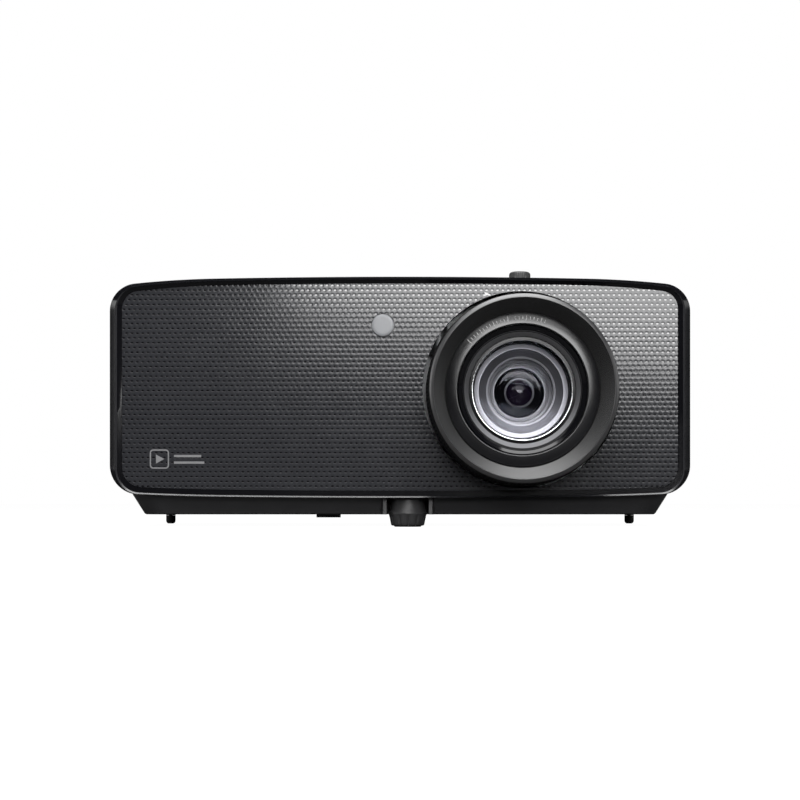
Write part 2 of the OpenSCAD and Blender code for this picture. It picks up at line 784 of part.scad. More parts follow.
module intake_fan_frame() fan_frame(1);
module intake_fan_rotor() fan_rotor(1);
module exhaust_fan_frame() fan_frame(-1);
module exhaust_fan_rotor() fan_rotor(-1);

module speakers() color("#222226") {
    for (side = [-1, 1]) translate([side * 164, dy(214), 92]) rotate([0, side * 90, 0]) {
        difference() {
            translate([-22, -22, 9]) cube([44, 44, 3]);
            translate([0, 0, 9 - 1]) cylinder(r1 = 17, r2 = 20, h = 5);
        }
        difference() {
            cylinder(r1 = 10, r2 = 18.5, h = 9.01);
            translate([0, 0, 1.5]) cylinder(r1 = 8.5, r2 = 17.1, h = 9);
        }
        translate([0, 0, 1.4]) cylinder(r = 6, h = 3);
        translate([0, 0, -10]) cylinder(r = 14, h = 10.01);
    }
}

// ---------- feet ----------
module front_foot_pad() color("#161616") {
    turned_z(front_foot_x, foot_d, [[0, 0], [pad_r - 0.6, 0], [pad_r, 0.6], [pad_r, 2.8], [2, 2.8],
        [2, 6], [0, 6]]);
}

module front_foot_knob() color(dark) {
    difference() {
        turned_z(front_foot_x, foot_d, [[pad_r + running, 0.9], [10.4, 0.9], [11.1, 1.6], [12.3, 8],
            [foot_r, 8.7], [12.2, 9.4], [10.2, 18.4], [foot_stud_r, 18.4], [foot_stud_r, 40],
            [0, 40], [0, 6.2], [2 + running, 6.2], [2 + running, 3], [pad_r + running, 3]]);
        for (i = [0:11]) translate([front_foot_x, dy(foot_d), 0]) rotate(i * 30 + 15)
            translate([11.2, -0.5, 0]) cube([3, 1, 7.6]);
    }
}

module rear_foot_tip(side) color("#161616") {
    turned_z(side * rear_foot_x, rear_foot_d, [[0, 0], [1.8, 0], [2.7, 0.4], [3.3, 1.2], [tip_r, 2.2],
        [tip_r, 6], [1.4, 6], [1.4, 9], [0, 9]]);
}

module rear_foot_screw(side) color(dark) {
    turned_z(side * rear_foot_x, rear_foot_d, [[1.4 + running, 6.1], [tip_r, 6.1], [tip_r, 14.5],
        [rear_stud_r, 14.5], [rear_stud_r, 34], [0, 34], [0, 9.2], [1.4 + running, 9.2]]);
}

module rear_foot_tip_left() rear_foot_tip(-1);
module rear_foot_tip_right() rear_foot_tip(1);
module rear_foot_screw_left() rear_foot_screw(-1);
module rear_foot_screw_right() rear_foot_screw(1);

bottom_case();
top_cover();
front_bezel();
front_panel();
lens_dust_ring();
ir_window();
ir_receiver();
left_vent_grille();
right_vent_grille();
rear_panel();
air_cover();
case_screws();
keypad_panel();
keypad_board();
power_button();
menu_button();
up_button();
down_button();
left_button();
right_button();
enter_button();
shift_knob();
lens_mount();
lens_carriage();
lens_barrel();
lens_name_ring();
zoom_ring();
focus_ring();
front_cell();
front_retainer();
front_glass();
zoom_cell();
zoom_glass();
rear_glass();
light_engine_case();
prism();
dmd_board();
dmd_heatsink();
laser_module();
laser_heatsink();
phosphor_motor();
phosphor_wheel();
light_tunnel();
main_board();
power_supply();
power_inlet();
hdmi_ports();
data_ports();
audio_jacks();
intake_fan_frame();
intake_fan_rotor();
exhaust_fan_frame();
exhaust_fan_rotor();
speakers();
front_foot_pad();
front_foot_knob();
rear_foot_tip_left();
rear_foot_screw_left();
rear_foot_tip_right();
rear_foot_screw_right();
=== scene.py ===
import json
import math

import bmesh
import bpy
from mathutils import Matrix, Vector


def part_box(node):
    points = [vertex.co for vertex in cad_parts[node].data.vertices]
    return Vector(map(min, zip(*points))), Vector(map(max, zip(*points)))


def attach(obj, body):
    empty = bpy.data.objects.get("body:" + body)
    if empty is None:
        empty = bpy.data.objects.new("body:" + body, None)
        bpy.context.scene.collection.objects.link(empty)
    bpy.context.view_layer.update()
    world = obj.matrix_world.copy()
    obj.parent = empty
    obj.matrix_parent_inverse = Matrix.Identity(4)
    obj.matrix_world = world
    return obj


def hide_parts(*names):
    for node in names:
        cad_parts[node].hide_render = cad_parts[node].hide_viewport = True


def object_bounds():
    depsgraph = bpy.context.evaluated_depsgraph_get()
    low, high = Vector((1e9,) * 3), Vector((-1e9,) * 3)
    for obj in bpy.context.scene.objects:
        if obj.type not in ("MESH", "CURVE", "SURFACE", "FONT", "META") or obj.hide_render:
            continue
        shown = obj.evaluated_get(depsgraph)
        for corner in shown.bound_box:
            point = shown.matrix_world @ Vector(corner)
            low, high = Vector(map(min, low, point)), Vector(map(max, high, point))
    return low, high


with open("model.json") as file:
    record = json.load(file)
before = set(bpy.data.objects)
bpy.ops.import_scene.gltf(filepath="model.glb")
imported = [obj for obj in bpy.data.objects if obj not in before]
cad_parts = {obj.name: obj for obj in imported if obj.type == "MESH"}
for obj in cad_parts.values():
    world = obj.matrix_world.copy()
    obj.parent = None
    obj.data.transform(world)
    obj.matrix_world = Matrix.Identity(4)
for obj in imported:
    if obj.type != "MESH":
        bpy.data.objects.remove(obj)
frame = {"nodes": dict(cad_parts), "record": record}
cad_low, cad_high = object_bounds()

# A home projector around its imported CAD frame. Blender's metres; the front faces -Y.
# Lengths written here are in millimetres and pass through mm(); the stage's are in metres.


def mm(value):
    return value * 0.001


# ---------- places, from the frame ----------
BEZEL_LOW, BEZEL_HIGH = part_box("front_bezel")
BODY_HALF = (BEZEL_HIGH.x - BEZEL_LOW.x) / 2
FRONT = BEZEL_LOW.y                       # the bezel's front plane
TOP = BEZEL_HIGH.z
BOTTOM = BEZEL_LOW.z
REAR = cad_high.y
FOCUS_LOW, FOCUS_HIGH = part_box("focus_ring")
LENS = (FOCUS_LOW + FOCUS_HIGH) / 2       # a point on the lens axis
DUST_LOW, DUST_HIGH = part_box("lens_dust_ring")
OPENING = (DUST_LOW + DUST_HIGH) / 2
OPENING_R = 63.5
IR_LOW, IR_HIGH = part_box("ir_window")
IR = (IR_LOW + IR_HIGH) / 2
IR_R = 7.6
FOOT_LOW, FOOT_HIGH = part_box("front_foot_knob")
FOOT = (FOOT_LOW + FOOT_HIGH) / 2
SPLIT_Z = 42          # the seam between the underbody and the top cover
BEZEL_DEPTH = 10
BODY_DEPTH = 300
WALL = 2.5
SEGMENTS = 160
MARK = (-155, 43.8)  # the corner mark's middle, in X and Z
WORLD_GREY = 0.055   # the studio's walls, as bright as a surface mirrors them
WORLD_DARK = 0.03    # the dark part round the camera
FLOOR_GREY = 0.07    # what the floor gives back to the object
FLOOR_WHITE = 0.985  # and how bright it looks


def behind(depth):
    """The Y of a place that many millimetres behind the bezel's front plane."""
    return FRONT + mm(depth)


# ---------- materials ----------
DRIFT_SIZE = 18      # how far apart the slow changes in colour and gloss lie


def surface(name, colour, rough, metallic=0.0, spec=0.5, coat=0.0, grain=0.0,
            mottle=0.12, rough_spread=0.06, depth=0.0):
    """A moulded or machined surface: fine grain in the bump, slow drift in colour and gloss.

    Grain and depth are in millimetres: the size of the grain and how far it stands up.
    """
    mat = bpy.data.materials.new(name)
    mat.use_nodes = True
    tree = mat.node_tree
    shader = tree.nodes["Principled BSDF"]
    shader.inputs["Metallic"].default_value = metallic
    shader.inputs["Specular IOR Level"].default_value = spec
    shader.inputs["Coat Weight"].default_value = coat
    shader.inputs["Coat Roughness"].default_value = 0.08
    place = tree.nodes.new("ShaderNodeTexCoord")
    drift = tree.nodes.new("ShaderNodeTexNoise")
    drift.inputs["Scale"].default_value = 1000 / DRIFT_SIZE
    drift.inputs["Detail"].default_value = 4
    tree.links.new(place.outputs["Object"], drift.inputs["Vector"])
    tint = tree.nodes.new("ShaderNodeMix")
    tint.data_type = "RGBA"
    tint.inputs["A"].default_value = (*[c * (1 - mottle) for c in colour], 1)
    tint.inputs["B"].default_value = (*[min(1, c * (1 + mottle)) for c in colour], 1)
    tree.links.new(drift.outputs["Fac"], tint.inputs["Factor"])
    tree.links.new(tint.outputs["Result"], shader.inputs["Base Color"])
    gloss = tree.nodes.new("ShaderNodeMapRange")
    gloss.inputs["To Min"].default_value = max(0.02, rough - rough_spread)
    gloss.inputs["To Max"].default_value = min(1, rough + rough_spread)
    tree.links.new(drift.outputs["Fac"], gloss.inputs["Value"])
    tree.links.new(gloss.outputs["Result"], shader.inputs["Roughness"])
    if grain:
        fine = tree.nodes.new("ShaderNodeTexNoise")
        fine.inputs["Scale"].default_value = 1000 / grain
        fine.inputs["Detail"].default_value = 3
        tree.links.new(place.outputs["Object"], fine.inputs["Vector"])
        bump = tree.nodes.new("ShaderNodeBump")
        bump.inputs["Strength"].default_value = 1.0
        bump.inputs["Distance"].default_value = mm(depth)
        tree.links.new(fine.outputs["Fac"], bump.inputs["Height"])
        tree.links.new(bump.outputs["Normal"], shader.inputs["Normal"])
    return mat


def turned_metal(name, colour, rough):
    """Lathe-turned metal, whose highlights stretch across its fine grooves."""
    mat = surface(name, colour, rough, metallic=1.0, grain=0.5, depth=0.002, mottle=0.06)
    mat.node_tree.nodes["Principled BSDF"].inputs["Anisotropic"].default_value = 0.6
    return mat


def coated_glass(name, tint, body, share=1.0):
    """Clear glass with a coating: what is behind shows, and it mirrors a share of a bare glass."""
    mat = bpy.data.materials.new(name)
    mat.use_nodes = True
    tree = mat.node_tree
    tree.nodes.remove(tree.nodes["Principled BSDF"])
    out = tree.nodes["Material Output"]
    clear = tree.nodes.new("ShaderNodeBsdfTransparent")
    clear.inputs["Color"].default_value = (*body, 1)
    mirror = tree.nodes.new("ShaderNodeBsdfGlossy")
    mirror.inputs["Color"].default_value = (*tint, 1)
    mirror.inputs["Roughness"].default_value = 0.015
    edge = tree.nodes.new("ShaderNodeFresnel")
    edge.inputs["IOR"].default_value = 1.5
    part = tree.nodes.new("ShaderNodeMath")
    part.operation = "MULTIPLY"
    part.inputs[1].default_value = share
    tree.links.new(edge.outputs["Fac"], part.inputs[0])
    both = tree.nodes.new("ShaderNodeMixShader")
    tree.links.new(part.outputs["Value"], both.inputs["Fac"])
    tree.links.new(clear.outputs["BSDF"], both.inputs[1])
    tree.links.new(mirror.outputs["BSDF"], both.inputs[2])
    tree.links.new(both.outputs["Shader"], out.inputs["Surface"])
    return mat


MAT = {
    "cover": surface("cover_plastic", (0.022, 0.022, 0.024), 0.42, grain=0.35, depth=0.02),
    "base": surface("base_plastic", (0.034, 0.034, 0.036), 0.4, grain=0.4, depth=0.02),
    "bezel": surface("bezel_gloss", (0.003, 0.003, 0.004), 0.12, spec=0.35, rough_spread=0.02),
    # the lip, lighter than the bezel: partly a painted highlight line, partly the real glint of its
    # inward slope
    "lip": surface("bezel_lip_painted_highlight", (0.02, 0.02, 0.022), 0.2, spec=0.6, rough_spread=0.03),
    "panel": surface("panel_plastic", (0.022, 0.0225, 0.0255), 0.135, spec=0.34,
                     rough_spread=0.02),
    "dimple": surface("dimple_gloss", (0.002, 0.002, 0.003), 0.09, spec=0.75, rough_spread=0.02),
    "window": surface("ir_plastic", (0.2, 0.205, 0.215), 0.35, grain=0.3, depth=0.004),
    "mark": surface("mark_ink", (0.16, 0.16, 0.165), 0.45, grain=0.3, depth=0.004),
    "grille": surface("grille_plastic", (0.018, 0.018, 0.019), 0.5, grain=0.4, depth=0.015),
    "ring": surface("ring_plastic", (0.003, 0.003, 0.003), 0.5, spec=0.12, grain=0.25,
                    depth=0.006),
    "funnel": surface("funnel_plastic", (0.005, 0.005, 0.0055), 0.42, spec=0.75, grain=0.25,
                      depth=0.002),
    "rim": surface("rim_plastic", (0.022, 0.022, 0.023), 0.36, spec=1.0, grain=0.25, depth=0.002),
    "name": surface("name_plastic", (0.005, 0.005, 0.006), 0.2, spec=0.42, grain=0.25, depth=0.002),
    "ink": surface("white_ink", (0.62, 0.62, 0.62), 0.5, grain=0.3, depth=0.003),
    "cell": surface("cell_anodised", (0.003, 0.003, 0.004), 0.24, spec=0.25, grain=0.2,
                    depth=0.002),
    "void": surface("gap_black", (0.0015, 0.0015, 0.0015), 0.65, spec=0.06, grain=0.2,
                    depth=0.004),
    "silver": turned_metal("retainer_metal", (0.74, 0.745, 0.76), 0.26),
    # light grey for the bright rings seen through the front glass: a painted reflection, in place of
    # the reflection rings of the glass elements
    "bright_ring_painted_reflection": surface("bright_ring_painted_reflection", (0.5, 0.5, 0.51), 0.34, metallic=0.4, grain=0.3,
                           depth=0.002, mottle=0.05),
    "inner_grey": surface("inner_grey", (0.1, 0.1, 0.105), 0.36, metallic=0.8, grain=0.3,
                          depth=0.002, mottle=0.05),
    "baffle": surface("baffle_black", (0.004, 0.004, 0.004), 0.6, grain=0.2, depth=0.005),
    "front_glass": coated_glass("front_glass", (0.8, 0.85, 1.0), (0.96, 0.96, 0.98), 0.08),
    "black_glass": surface("black_glass", (0.003, 0.003, 0.004), 0.05, spec=0.14, rough_spread=0.01),
    "core_glass": surface("core_glass", (0.008, 0.005, 0.012), 0.14, spec=0.3,
                          rough_spread=0.02),
    "foot": surface("foot_plastic", (0.03, 0.03, 0.031), 0.45, grain=0.3, depth=0.012),
    "rubber": surface("foot_rubber", (0.014, 0.014, 0.014), 0.8, grain=0.5, depth=0.03),
    "key": surface("key_plastic", (0.012, 0.012, 0.013), 0.3, grain=0.3, depth=0.006),
    "knob": surface("knob_plastic", (0.03, 0.03, 0.031), 0.4, grain=0.3, depth=0.01),
    "structure": surface("cast_metal", (0.42, 0.43, 0.44), 0.45, metallic=1.0, grain=0.6,
                         depth=0.02),
    "fins": surface("fin_metal", (0.6, 0.61, 0.62), 0.35, metallic=1.0, grain=0.4, depth=0.01),
    "board": surface("board_mask", (0.01, 0.05, 0.025), 0.35, coat=0.3, grain=0.5, depth=0.01),
    "brass": surface("laser_brass", (0.6, 0.42, 0.18), 0.35, metallic=1.0, grain=0.4,
                     depth=0.01),
    "phosphor": surface("phosphor_disc", (0.7, 0.55, 0.1), 0.5, grain=0.3, depth=0.01),
    "socket": surface("socket_metal", (0.55, 0.55, 0.57), 0.3, metallic=1.0, grain=0.4,
                      depth=0.006),
    "socket_black": surface("socket_black", (0.01, 0.01, 0.011), 0.5, grain=0.3, depth=0.01),
    "fan": surface("fan_plastic", (0.014, 0.014, 0.015), 0.4, grain=0.3, depth=0.008),
    "speaker": surface("speaker_paper", (0.02, 0.02, 0.02), 0.75, grain=0.5, depth=0.03),
    "screw": surface("screw_steel", (0.4, 0.4, 0.41), 0.35, metallic=1.0, grain=0.3,
                     depth=0.006),
    "glass_block": coated_glass("prism_glass", (0.9, 0.95, 1.0), (0.85, 0.9, 0.95)),
}

# the CAD nodes that stay as they are, by material
PLAIN_NODES = {
    "cover": ["rear_panel"],
    "grille": ["left_vent_grille", "right_vent_grille", "air_cover"],
    "bezel": ["keypad_panel"],
    "socket_black": ["power_inlet", "audio_jacks"],
    "void": ["lens_dust_ring"],
    "socket": ["hdmi_ports", "data_ports"],
    "board": ["ir_receiver", "keypad_board", "dmd_board", "main_board", "power_supply"],
    "screw": ["case_screws"],
    "structure": ["lens_mount", "lens_carriage", "light_engine_case", "phosphor_motor",
                  "light_tunnel"],
    "fins": ["dmd_heatsink", "laser_heatsink"],
    "brass": ["laser_module"],
    "phosphor": ["phosphor_wheel"],
    "cell": ["lens_barrel"],
    "fan": ["intake_fan_frame", "intake_fan_rotor", "exhaust_fan_frame", "exhaust_fan_rotor"],
    "speaker": ["speakers"],
    "glass_block": ["prism", "rear_glass"],
    "key": ["power_button", "menu_button", "up_button", "down_button", "left_button",
            "right_button", "enter_button"],
    "rubber": ["front_foot_pad", "rear_foot_tip_left", "rear_foot_tip_right"],
    "foot": ["rear_foot_screw_left", "rear_foot_screw_right"],
}


def dress_plain_nodes():
    """Gives the CAD nodes that stay their materials."""
    for key, names in PLAIN_NODES.items():
        for name in names:
            mesh = frame["nodes"][name].data
            if mesh.materials:
                for i in range(len(mesh.materials)):
                    mesh.materials[i] = MAT[key]
            else:
                mesh.materials.append(MAT[key])


# ---------- making pieces ----------
def piece(name, points, faces, materials, body, nodes=(), face_materials=None, angle=30):
    """A closed mesh that rides on a body and stands for CAD nodes, smooth up to an edge angle."""
    mesh = bpy.data.meshes.new(name)
    mesh.from_pydata(points, [], faces)
    mesh.validate()
    obj = bpy.data.objects.new(name, mesh)
    bpy.context.scene.collection.objects.link(obj)
    for key in materials:
        mesh.materials.append(MAT[key])
    if face_materials:
        mesh.polygons.foreach_set("material_index", face_materials)
    tidy_normals(obj, angle)
    finish_piece(obj, body, nodes)


def tidy_normals(obj, angle=30):
    """Merges doubled points, turns faces outwards, and smooths up to an edge angle."""
    work = bmesh.new()
    work.from_mesh(obj.data)
    bmesh.ops.remove_doubles(work, verts=work.verts, dist=1e-7)
    bmesh.ops.recalc_face_normals(work, faces=work.faces)
    work.to_mesh(obj.data)
    work.free()
    obj.data.polygons.foreach_set("use_smooth", [True] * len(obj.data.polygons))
    obj.data.set_sharp_from_angle(angle=math.radians(angle))


def finish_piece(obj, body, nodes=()):
    if nodes:
        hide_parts(*nodes)
    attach(obj, body)


def apply_modifiers(obj):
    """Makes what the modifiers show the object's own mesh."""
    graph = bpy.context.evaluated_depsgraph_get()
    mesh = bpy.data.meshes.new_from_object(obj.evaluated_get(graph))
    old = obj.data
    obj.modifiers.clear()
    obj.data = mesh
    bpy.data.meshes.remove(old)


def loft(rings, close_ends=False):
    """Quads between closed rings that have the same number of points."""
    count = len(rings[0])
    points = [p for ring in rings for p in ring]
    faces = []
    for row in range(len(rings) - 1):
        for i in range(count):
            j = (i + 1) % count
            faces.append((row * count + i, row * count + j,
                          (row + 1) * count + j, (row + 1) * count + i))
    if close_ends:
        faces.append(tuple(range(count)))
        faces.append(tuple(range((len(rings) - 1) * count, len(rings) * count)))
    return points, faces


def turn(profile, centre, closed=True, segments=SEGMENTS, axis="y", groove=None):
    """A shape turned on an axis along -Y or +Z, from [radius, distance along it] in millimetres.

    A groove is how deep it is, the profile's rows that it cuts, how many segments one rib takes,
    and which of them are cut.
    """
    deep, rows, per_rib, dips = groove or (0, (), 1, ())
    rings = []
    for row, (full, t) in enumerate(profile):
        ring = []
        for i in range(segments):
            a = 2 * math.pi * i / segments
            r = full - deep if row in rows and i % per_rib in dips else full
            if axis == "y":
                ring.append((centre[0] + mm(r) * math.cos(a), centre[1] - mm(t),
                             centre[2] + mm(r) * math.sin(a)))
            else:
                ring.append((centre[0] + mm(r) * math.cos(a), centre[1] + mm(r) * math.sin(a),
                             centre[2] + mm(t)))
        rings.append(ring)
    points, faces = loft(rings)
    if closed:
        last = (len(rings) - 1) * segments
        for i in range(segments):
            j = (i + 1) % segments
            faces.append((last + i, last + j, j, i))
    return points, faces


def cap(points, faces, count):
    """Closes both ends of a turned shape that has that many points round."""
    faces.append(tuple(range(count)))
    faces.append(tuple(range(len(points) - count, len(points))))


# ---------- the housing's outline ----------
CROWN = (6000, 120, 600, 171)   # crown radius and reach, shoulder radius and reach
SILL = (9000, 120, 1500, 169)


def edge(half, shape, shrink):
    """Half an edge from its middle outwards, as distance out and drop, in millimetres."""
    r1, u1, r2, u2 = shape
    u1, u2 = u1 - shrink, u2 - shrink / 4
    s1 = u1 / r1
    d1 = r1 - math.sqrt(r1 * r1 - u1 * u1)
    s2 = s1 + (u2 - u1) / r2
    d2 = d1 + r2 * (math.cos(math.asin(s1)) - math.cos(math.asin(s2)))
    a2 = math.asin(s2)
    r3 = (half - u2) / (1 - s2)
    out = []
    for i in range(1, 13):
        u = u1 * i / 12
        out.append((u, r1 - math.sqrt(r1 * r1 - u * u)))
    for i in range(1, 9):
        s = s1 + (s2 - s1) * i / 8
        drop = r2 * (math.cos(math.asin(s1)) - math.cos(math.asin(s)))
        out.append((u1 + r2 * (s - s1), d1 + drop))
    for i in range(1, 17):
        a = a2 + (math.pi / 2 - a2) * i / 16
        out.append((u2 + r3 * (math.sin(a) - s2), d2 + r3 * (math.cos(a2) - math.cos(a))))
    return out


def outline(side, top, bottom):
    """The housing's closed outline in X and Z, drawn in at the sides, top and bottom."""
    half = BODY_HALF * 1000 - side
    up = [(u, TOP * 1000 - top - d) for u, d in edge(half, CROWN, side)]
    low = [(u, BOTTOM * 1000 + bottom + d) for u, d in edge(half, SILL, side)]
    start, end = up[-1], low[-1]
    straight = [(start[0], start[1] + (end[1] - start[1]) * i / 24) for i in range(1, 24)]
    right = up + straight + low[::-1]
    left = [(-x, z) for x, z in right[::-1]]
    return right + [(0, BOTTOM * 1000 + bottom)] + left + [(0, TOP * 1000 - top)]


def ring_at(side, top, bottom, depth):
    """The outline as a ring at one depth."""
    return [(mm(x), behind(depth), mm(z)) for x, z in outline(side, top, bottom)]


# ---------- bezel ----------
def make_bezel():
    """A glossy leaning band, a narrow lip that faces inwards, and a band that leads to the panel.
    The lip is lighter than the band: a painted highlight line, on top of the real glint its inward
    slope catches.
    """
    # inset at the sides, top and bottom, then the depth at the top and at the bottom
    band = [(0.0, 0.0, 0.0, 10.0, 10.0), (0.0, 0.0, 0.0, 2.6, 2.6), (0.06, 0.06, 0.02, 2.2, 2.2),
            (0.3, 0.25, 0.05, 1.9, 1.9), (3.5, 1.75, 0.14, 0.12, 0.12), (3.7, 1.85, 0.2, 0, 0),
            (3.85, 1.9, 0.25, 0.06, 0.06), (4.85, 2.1, 1.0, 0.7, 0.8), (5.05, 2.15, 1.2, 0.8, 0.9),
            (7.8, 4.2, 4.66, 2.05, 0.94), (7.9, 4.3, 4.7, 2.2, 1.1), (7.9, 4.3, 4.7, 5.0, 5.0),
            (7.9, 4.3, 4.7, 10.0, 10.0)]
    blend_from, blend_over = BOTTOM * 1000 + 6, 120
    rings = []
    for side, top, bottom, deep, deep_low in band:
        ring = []
        for x, z in outline(side, top, bottom):
            height = min(1, max(0, (z - blend_from) / blend_over))
            ring.append((mm(x), behind(deep_low + (deep - deep_low) * height), mm(z)))
        rings.append(ring)
    points, faces = loft(rings + [rings[0]])
    count = len(rings[0])
    lip = 6
    # the lip's row takes the lighter material with the painted highlight
    index = [1 if i // count == lip else 0 for i in range(len(faces))]
    piece("bezel_frame", points, faces, ["bezel", "lip"], "chassis",
          ["front_bezel"], index, angle=15)


# ---------- dimpled panel ----------
PITCH = 3.49                 # between dimples in a row
ROW = 3.08                   # between rows
CELL_SIDE = (ROW ** 2 - PITCH ** 2 / 4) / (2 * ROW)   # height of a cell's side corners
CELL_TIP = ROW - CELL_SIDE                            # height of its top corner
DIMPLE_DEPTH = 0.12
DOT_WIDE, DOT_HIGH = 0.95, 0.55                       # a dimple floor's half width and height
PANEL_FACE = 2.2                                      # the panel's face, behind the bezel's front


def make_panel():
    """A plate whose face is a staggered lattice of dimples, cut to its outline and its two holes."""
    thick = 2.9
    half, low, high = 181.0, 17.0, 163.0    # the lattice, a little larger than the panel
    columns = round(half / PITCH)
    rows = round((high - low) / ROW)
    corners = [(PITCH / 2, CELL_SIDE), (PITCH / 4, (CELL_SIDE + CELL_TIP) / 2), (0, CELL_TIP),
               (-PITCH / 4, (CELL_SIDE + CELL_TIP) / 2), (-PITCH / 2, CELL_SIDE), (-PITCH / 2, 0),
               (-PITCH / 2, -CELL_SIDE), (-PITCH / 4, -(CELL_SIDE + CELL_TIP) / 2),
               (0, -CELL_TIP), (PITCH / 4, -(CELL_SIDE + CELL_TIP) / 2),
               (PITCH / 2, -CELL_SIDE), (PITCH / 2, 0)]
    # each ring of a dimple: how far towards a flat oval, its half width and height, its depth
    rings = [(0.5, 1.5, 1.3, 0.006), (1.0, 1.14, 0.74, 0.025),
             (1.0, DOT_WIDE, DOT_HIGH, DIMPLE_DEPTH)]
    points, faces, floors, known = [], [], [], {}

    def point(x, z, depth=0.0):
        """A point of the face; cells share the ones on the lattice's own lines."""
        key = (round(4 * x / PITCH), round(100 * z + 0.1)) if depth == 0 else len(points)
        if key not in known:
            known[key] = len(points)
            points.append((mm(x), behind(PANEL_FACE + depth), mm(z)))
        return known[key]

    border = {}
    for row in range(rows):
        z = low + row * ROW
        for col in range(-columns, columns):
            x = (col + (0.5 if row % 2 else 0)) * PITCH
            last = [point(x + u, z + v) for u, v in corners]
            for i in range(12):
                pair = (last[i], last[(i + 1) % 12])
                if pair[::-1] in border:
                    del border[pair[::-1]]
                else:
                    border[pair] = True
            for share, wide, tall, depth in rings:
                ring = []
                for u, v in corners:
                    a = math.atan2(v / tall, u / wide)
                    keep = (1 - share) * 0.86
                    ring.append(point(x + u * keep + share * wide * math.cos(a),
                                      z + v * keep + share * tall * math.sin(a), depth))
                for i in range(12):
                    j = (i + 1) % 12
                    faces.append((last[i], last[j], ring[j], ring[i]))
                last = ring
            floors.append(tuple(last))
    count = len(faces)
    faces += floors
    # the plate's sides and back, from the lattice's zigzag border
    start = next(iter(border))
    chain = {a: b for a, b in border}
    loop, here = [], start[0]
    while True:
        loop.append(here)
        here = chain[here]
        if here == start[0]:
            break
    rear = []
    for i in loop:
        x, _, z = points[i]
        rear.append(len(points))
        points.append((x, behind(PANEL_FACE + thick), z))
    for i in range(len(loop)):
        j = (i + 1) % len(loop)
        faces.append((loop[j], loop[i], rear[i], rear[j]))
    faces.append(tuple(rear))
    mesh = bpy.data.meshes.new("panel")
    mesh.from_pydata(points, [], faces)
    plate = bpy.data.objects.new("panel", mesh)
    bpy.context.scene.collection.objects.link(plate)
    mesh.materials.append(MAT["panel"])
    mesh.materials.append(MAT["dimple"])
    dots = range(count, count + len(floors))
    mesh.polygons.foreach_set("material_index", [1 if i in dots else 0 for i in range(len(faces))])
    work = bmesh.new()
    work.from_mesh(mesh)
    bmesh.ops.recalc_face_normals(work, faces=work.faces)
    work.to_mesh(mesh)
    work.free()
    edge_loop = outline(8.0, 4.4, 4.8)
    shape = [[(mm(x), behind(d), mm(z)) for x, z in edge_loop] for d in (-1, 20)]
    combine(plate, solid("shape", *loft(shape, close_ends=True)), "INTERSECT", "MANIFOLD")
    axis = Vector((OPENING.x, behind(12), OPENING.z))
    combine(plate, rod("mouth", axis, mm(OPENING_R), 0, mm(20), "y", SEGMENTS), solver="MANIFOLD")
    axis = Vector((IR.x, behind(12), IR.z))
    combine(plate, rod("window", axis, mm(IR_R), 0, mm(20), "y", 64), solver="MANIFOLD")
    plate.name = plate.data.name = "panel_face"
    tidy_normals(plate, 10)
    mesh = plate.data
    for face in mesh.polygons:
        if face.material_index == 1:
            face.use_smooth = False
    finish_piece(plate, "chassis", ["front_panel"])


# ---------- lens ----------
# lens shapes are [radius, distance in front of the bezel]
NAME_OUT, NAME_IN = (48.45, 25.55), (42.3, 26.85)     # the name ring's face, outside and inside
LENS_AXIS = (LENS.x, FRONT, LENS.z)


def lens_piece(name, profile, materials, body, nodes=(), rows=(), closed=True, angle=30):
    """A piece turned on the lens axis; rows says which profile rows take which other material."""
    points, faces = turn(profile, LENS_AXIS, closed)
    taken = dict(rows)
    index = [taken.get(i // SEGMENTS, 0) for i in range(len(faces))]
    piece(name, points, faces, materials, body, nodes, index, angle)


def make_lens():
    make_lens_rings()
    make_front_group()
    make_zoom_group()


def make_lens_rings():
    """The zoom ring, the focus ring and the name ring."""
    # the zoom ring's outer skirt stands in the opening
    zoom = [(45, -9.6), (47.9, -9.6), (47.9, 7), (59.6, 7), (59.6, -5.9), (60.4, -6), (60.9, -5.4),
            (60.9, 13.6), (60.4, 14.6), (59.8, 14.9), (45, 14.9)]
    lens_piece("zoom_control_ring", zoom, ["ring"], "zoom_control", ["zoom_ring"])
    make_focus_ring()
    name = [(41.15, 24.3), (44.8, 24.3), (44.8, 24.6), (48.6, 24.6), (48.7, 25.2), NAME_OUT,
            NAME_IN, (41.8, 26.8), (41.4, 26.5), (41.15, 26.0)]
    lens_piece("name_ring", name, ["name"], "lens_carriage", ["lens_name_ring"])


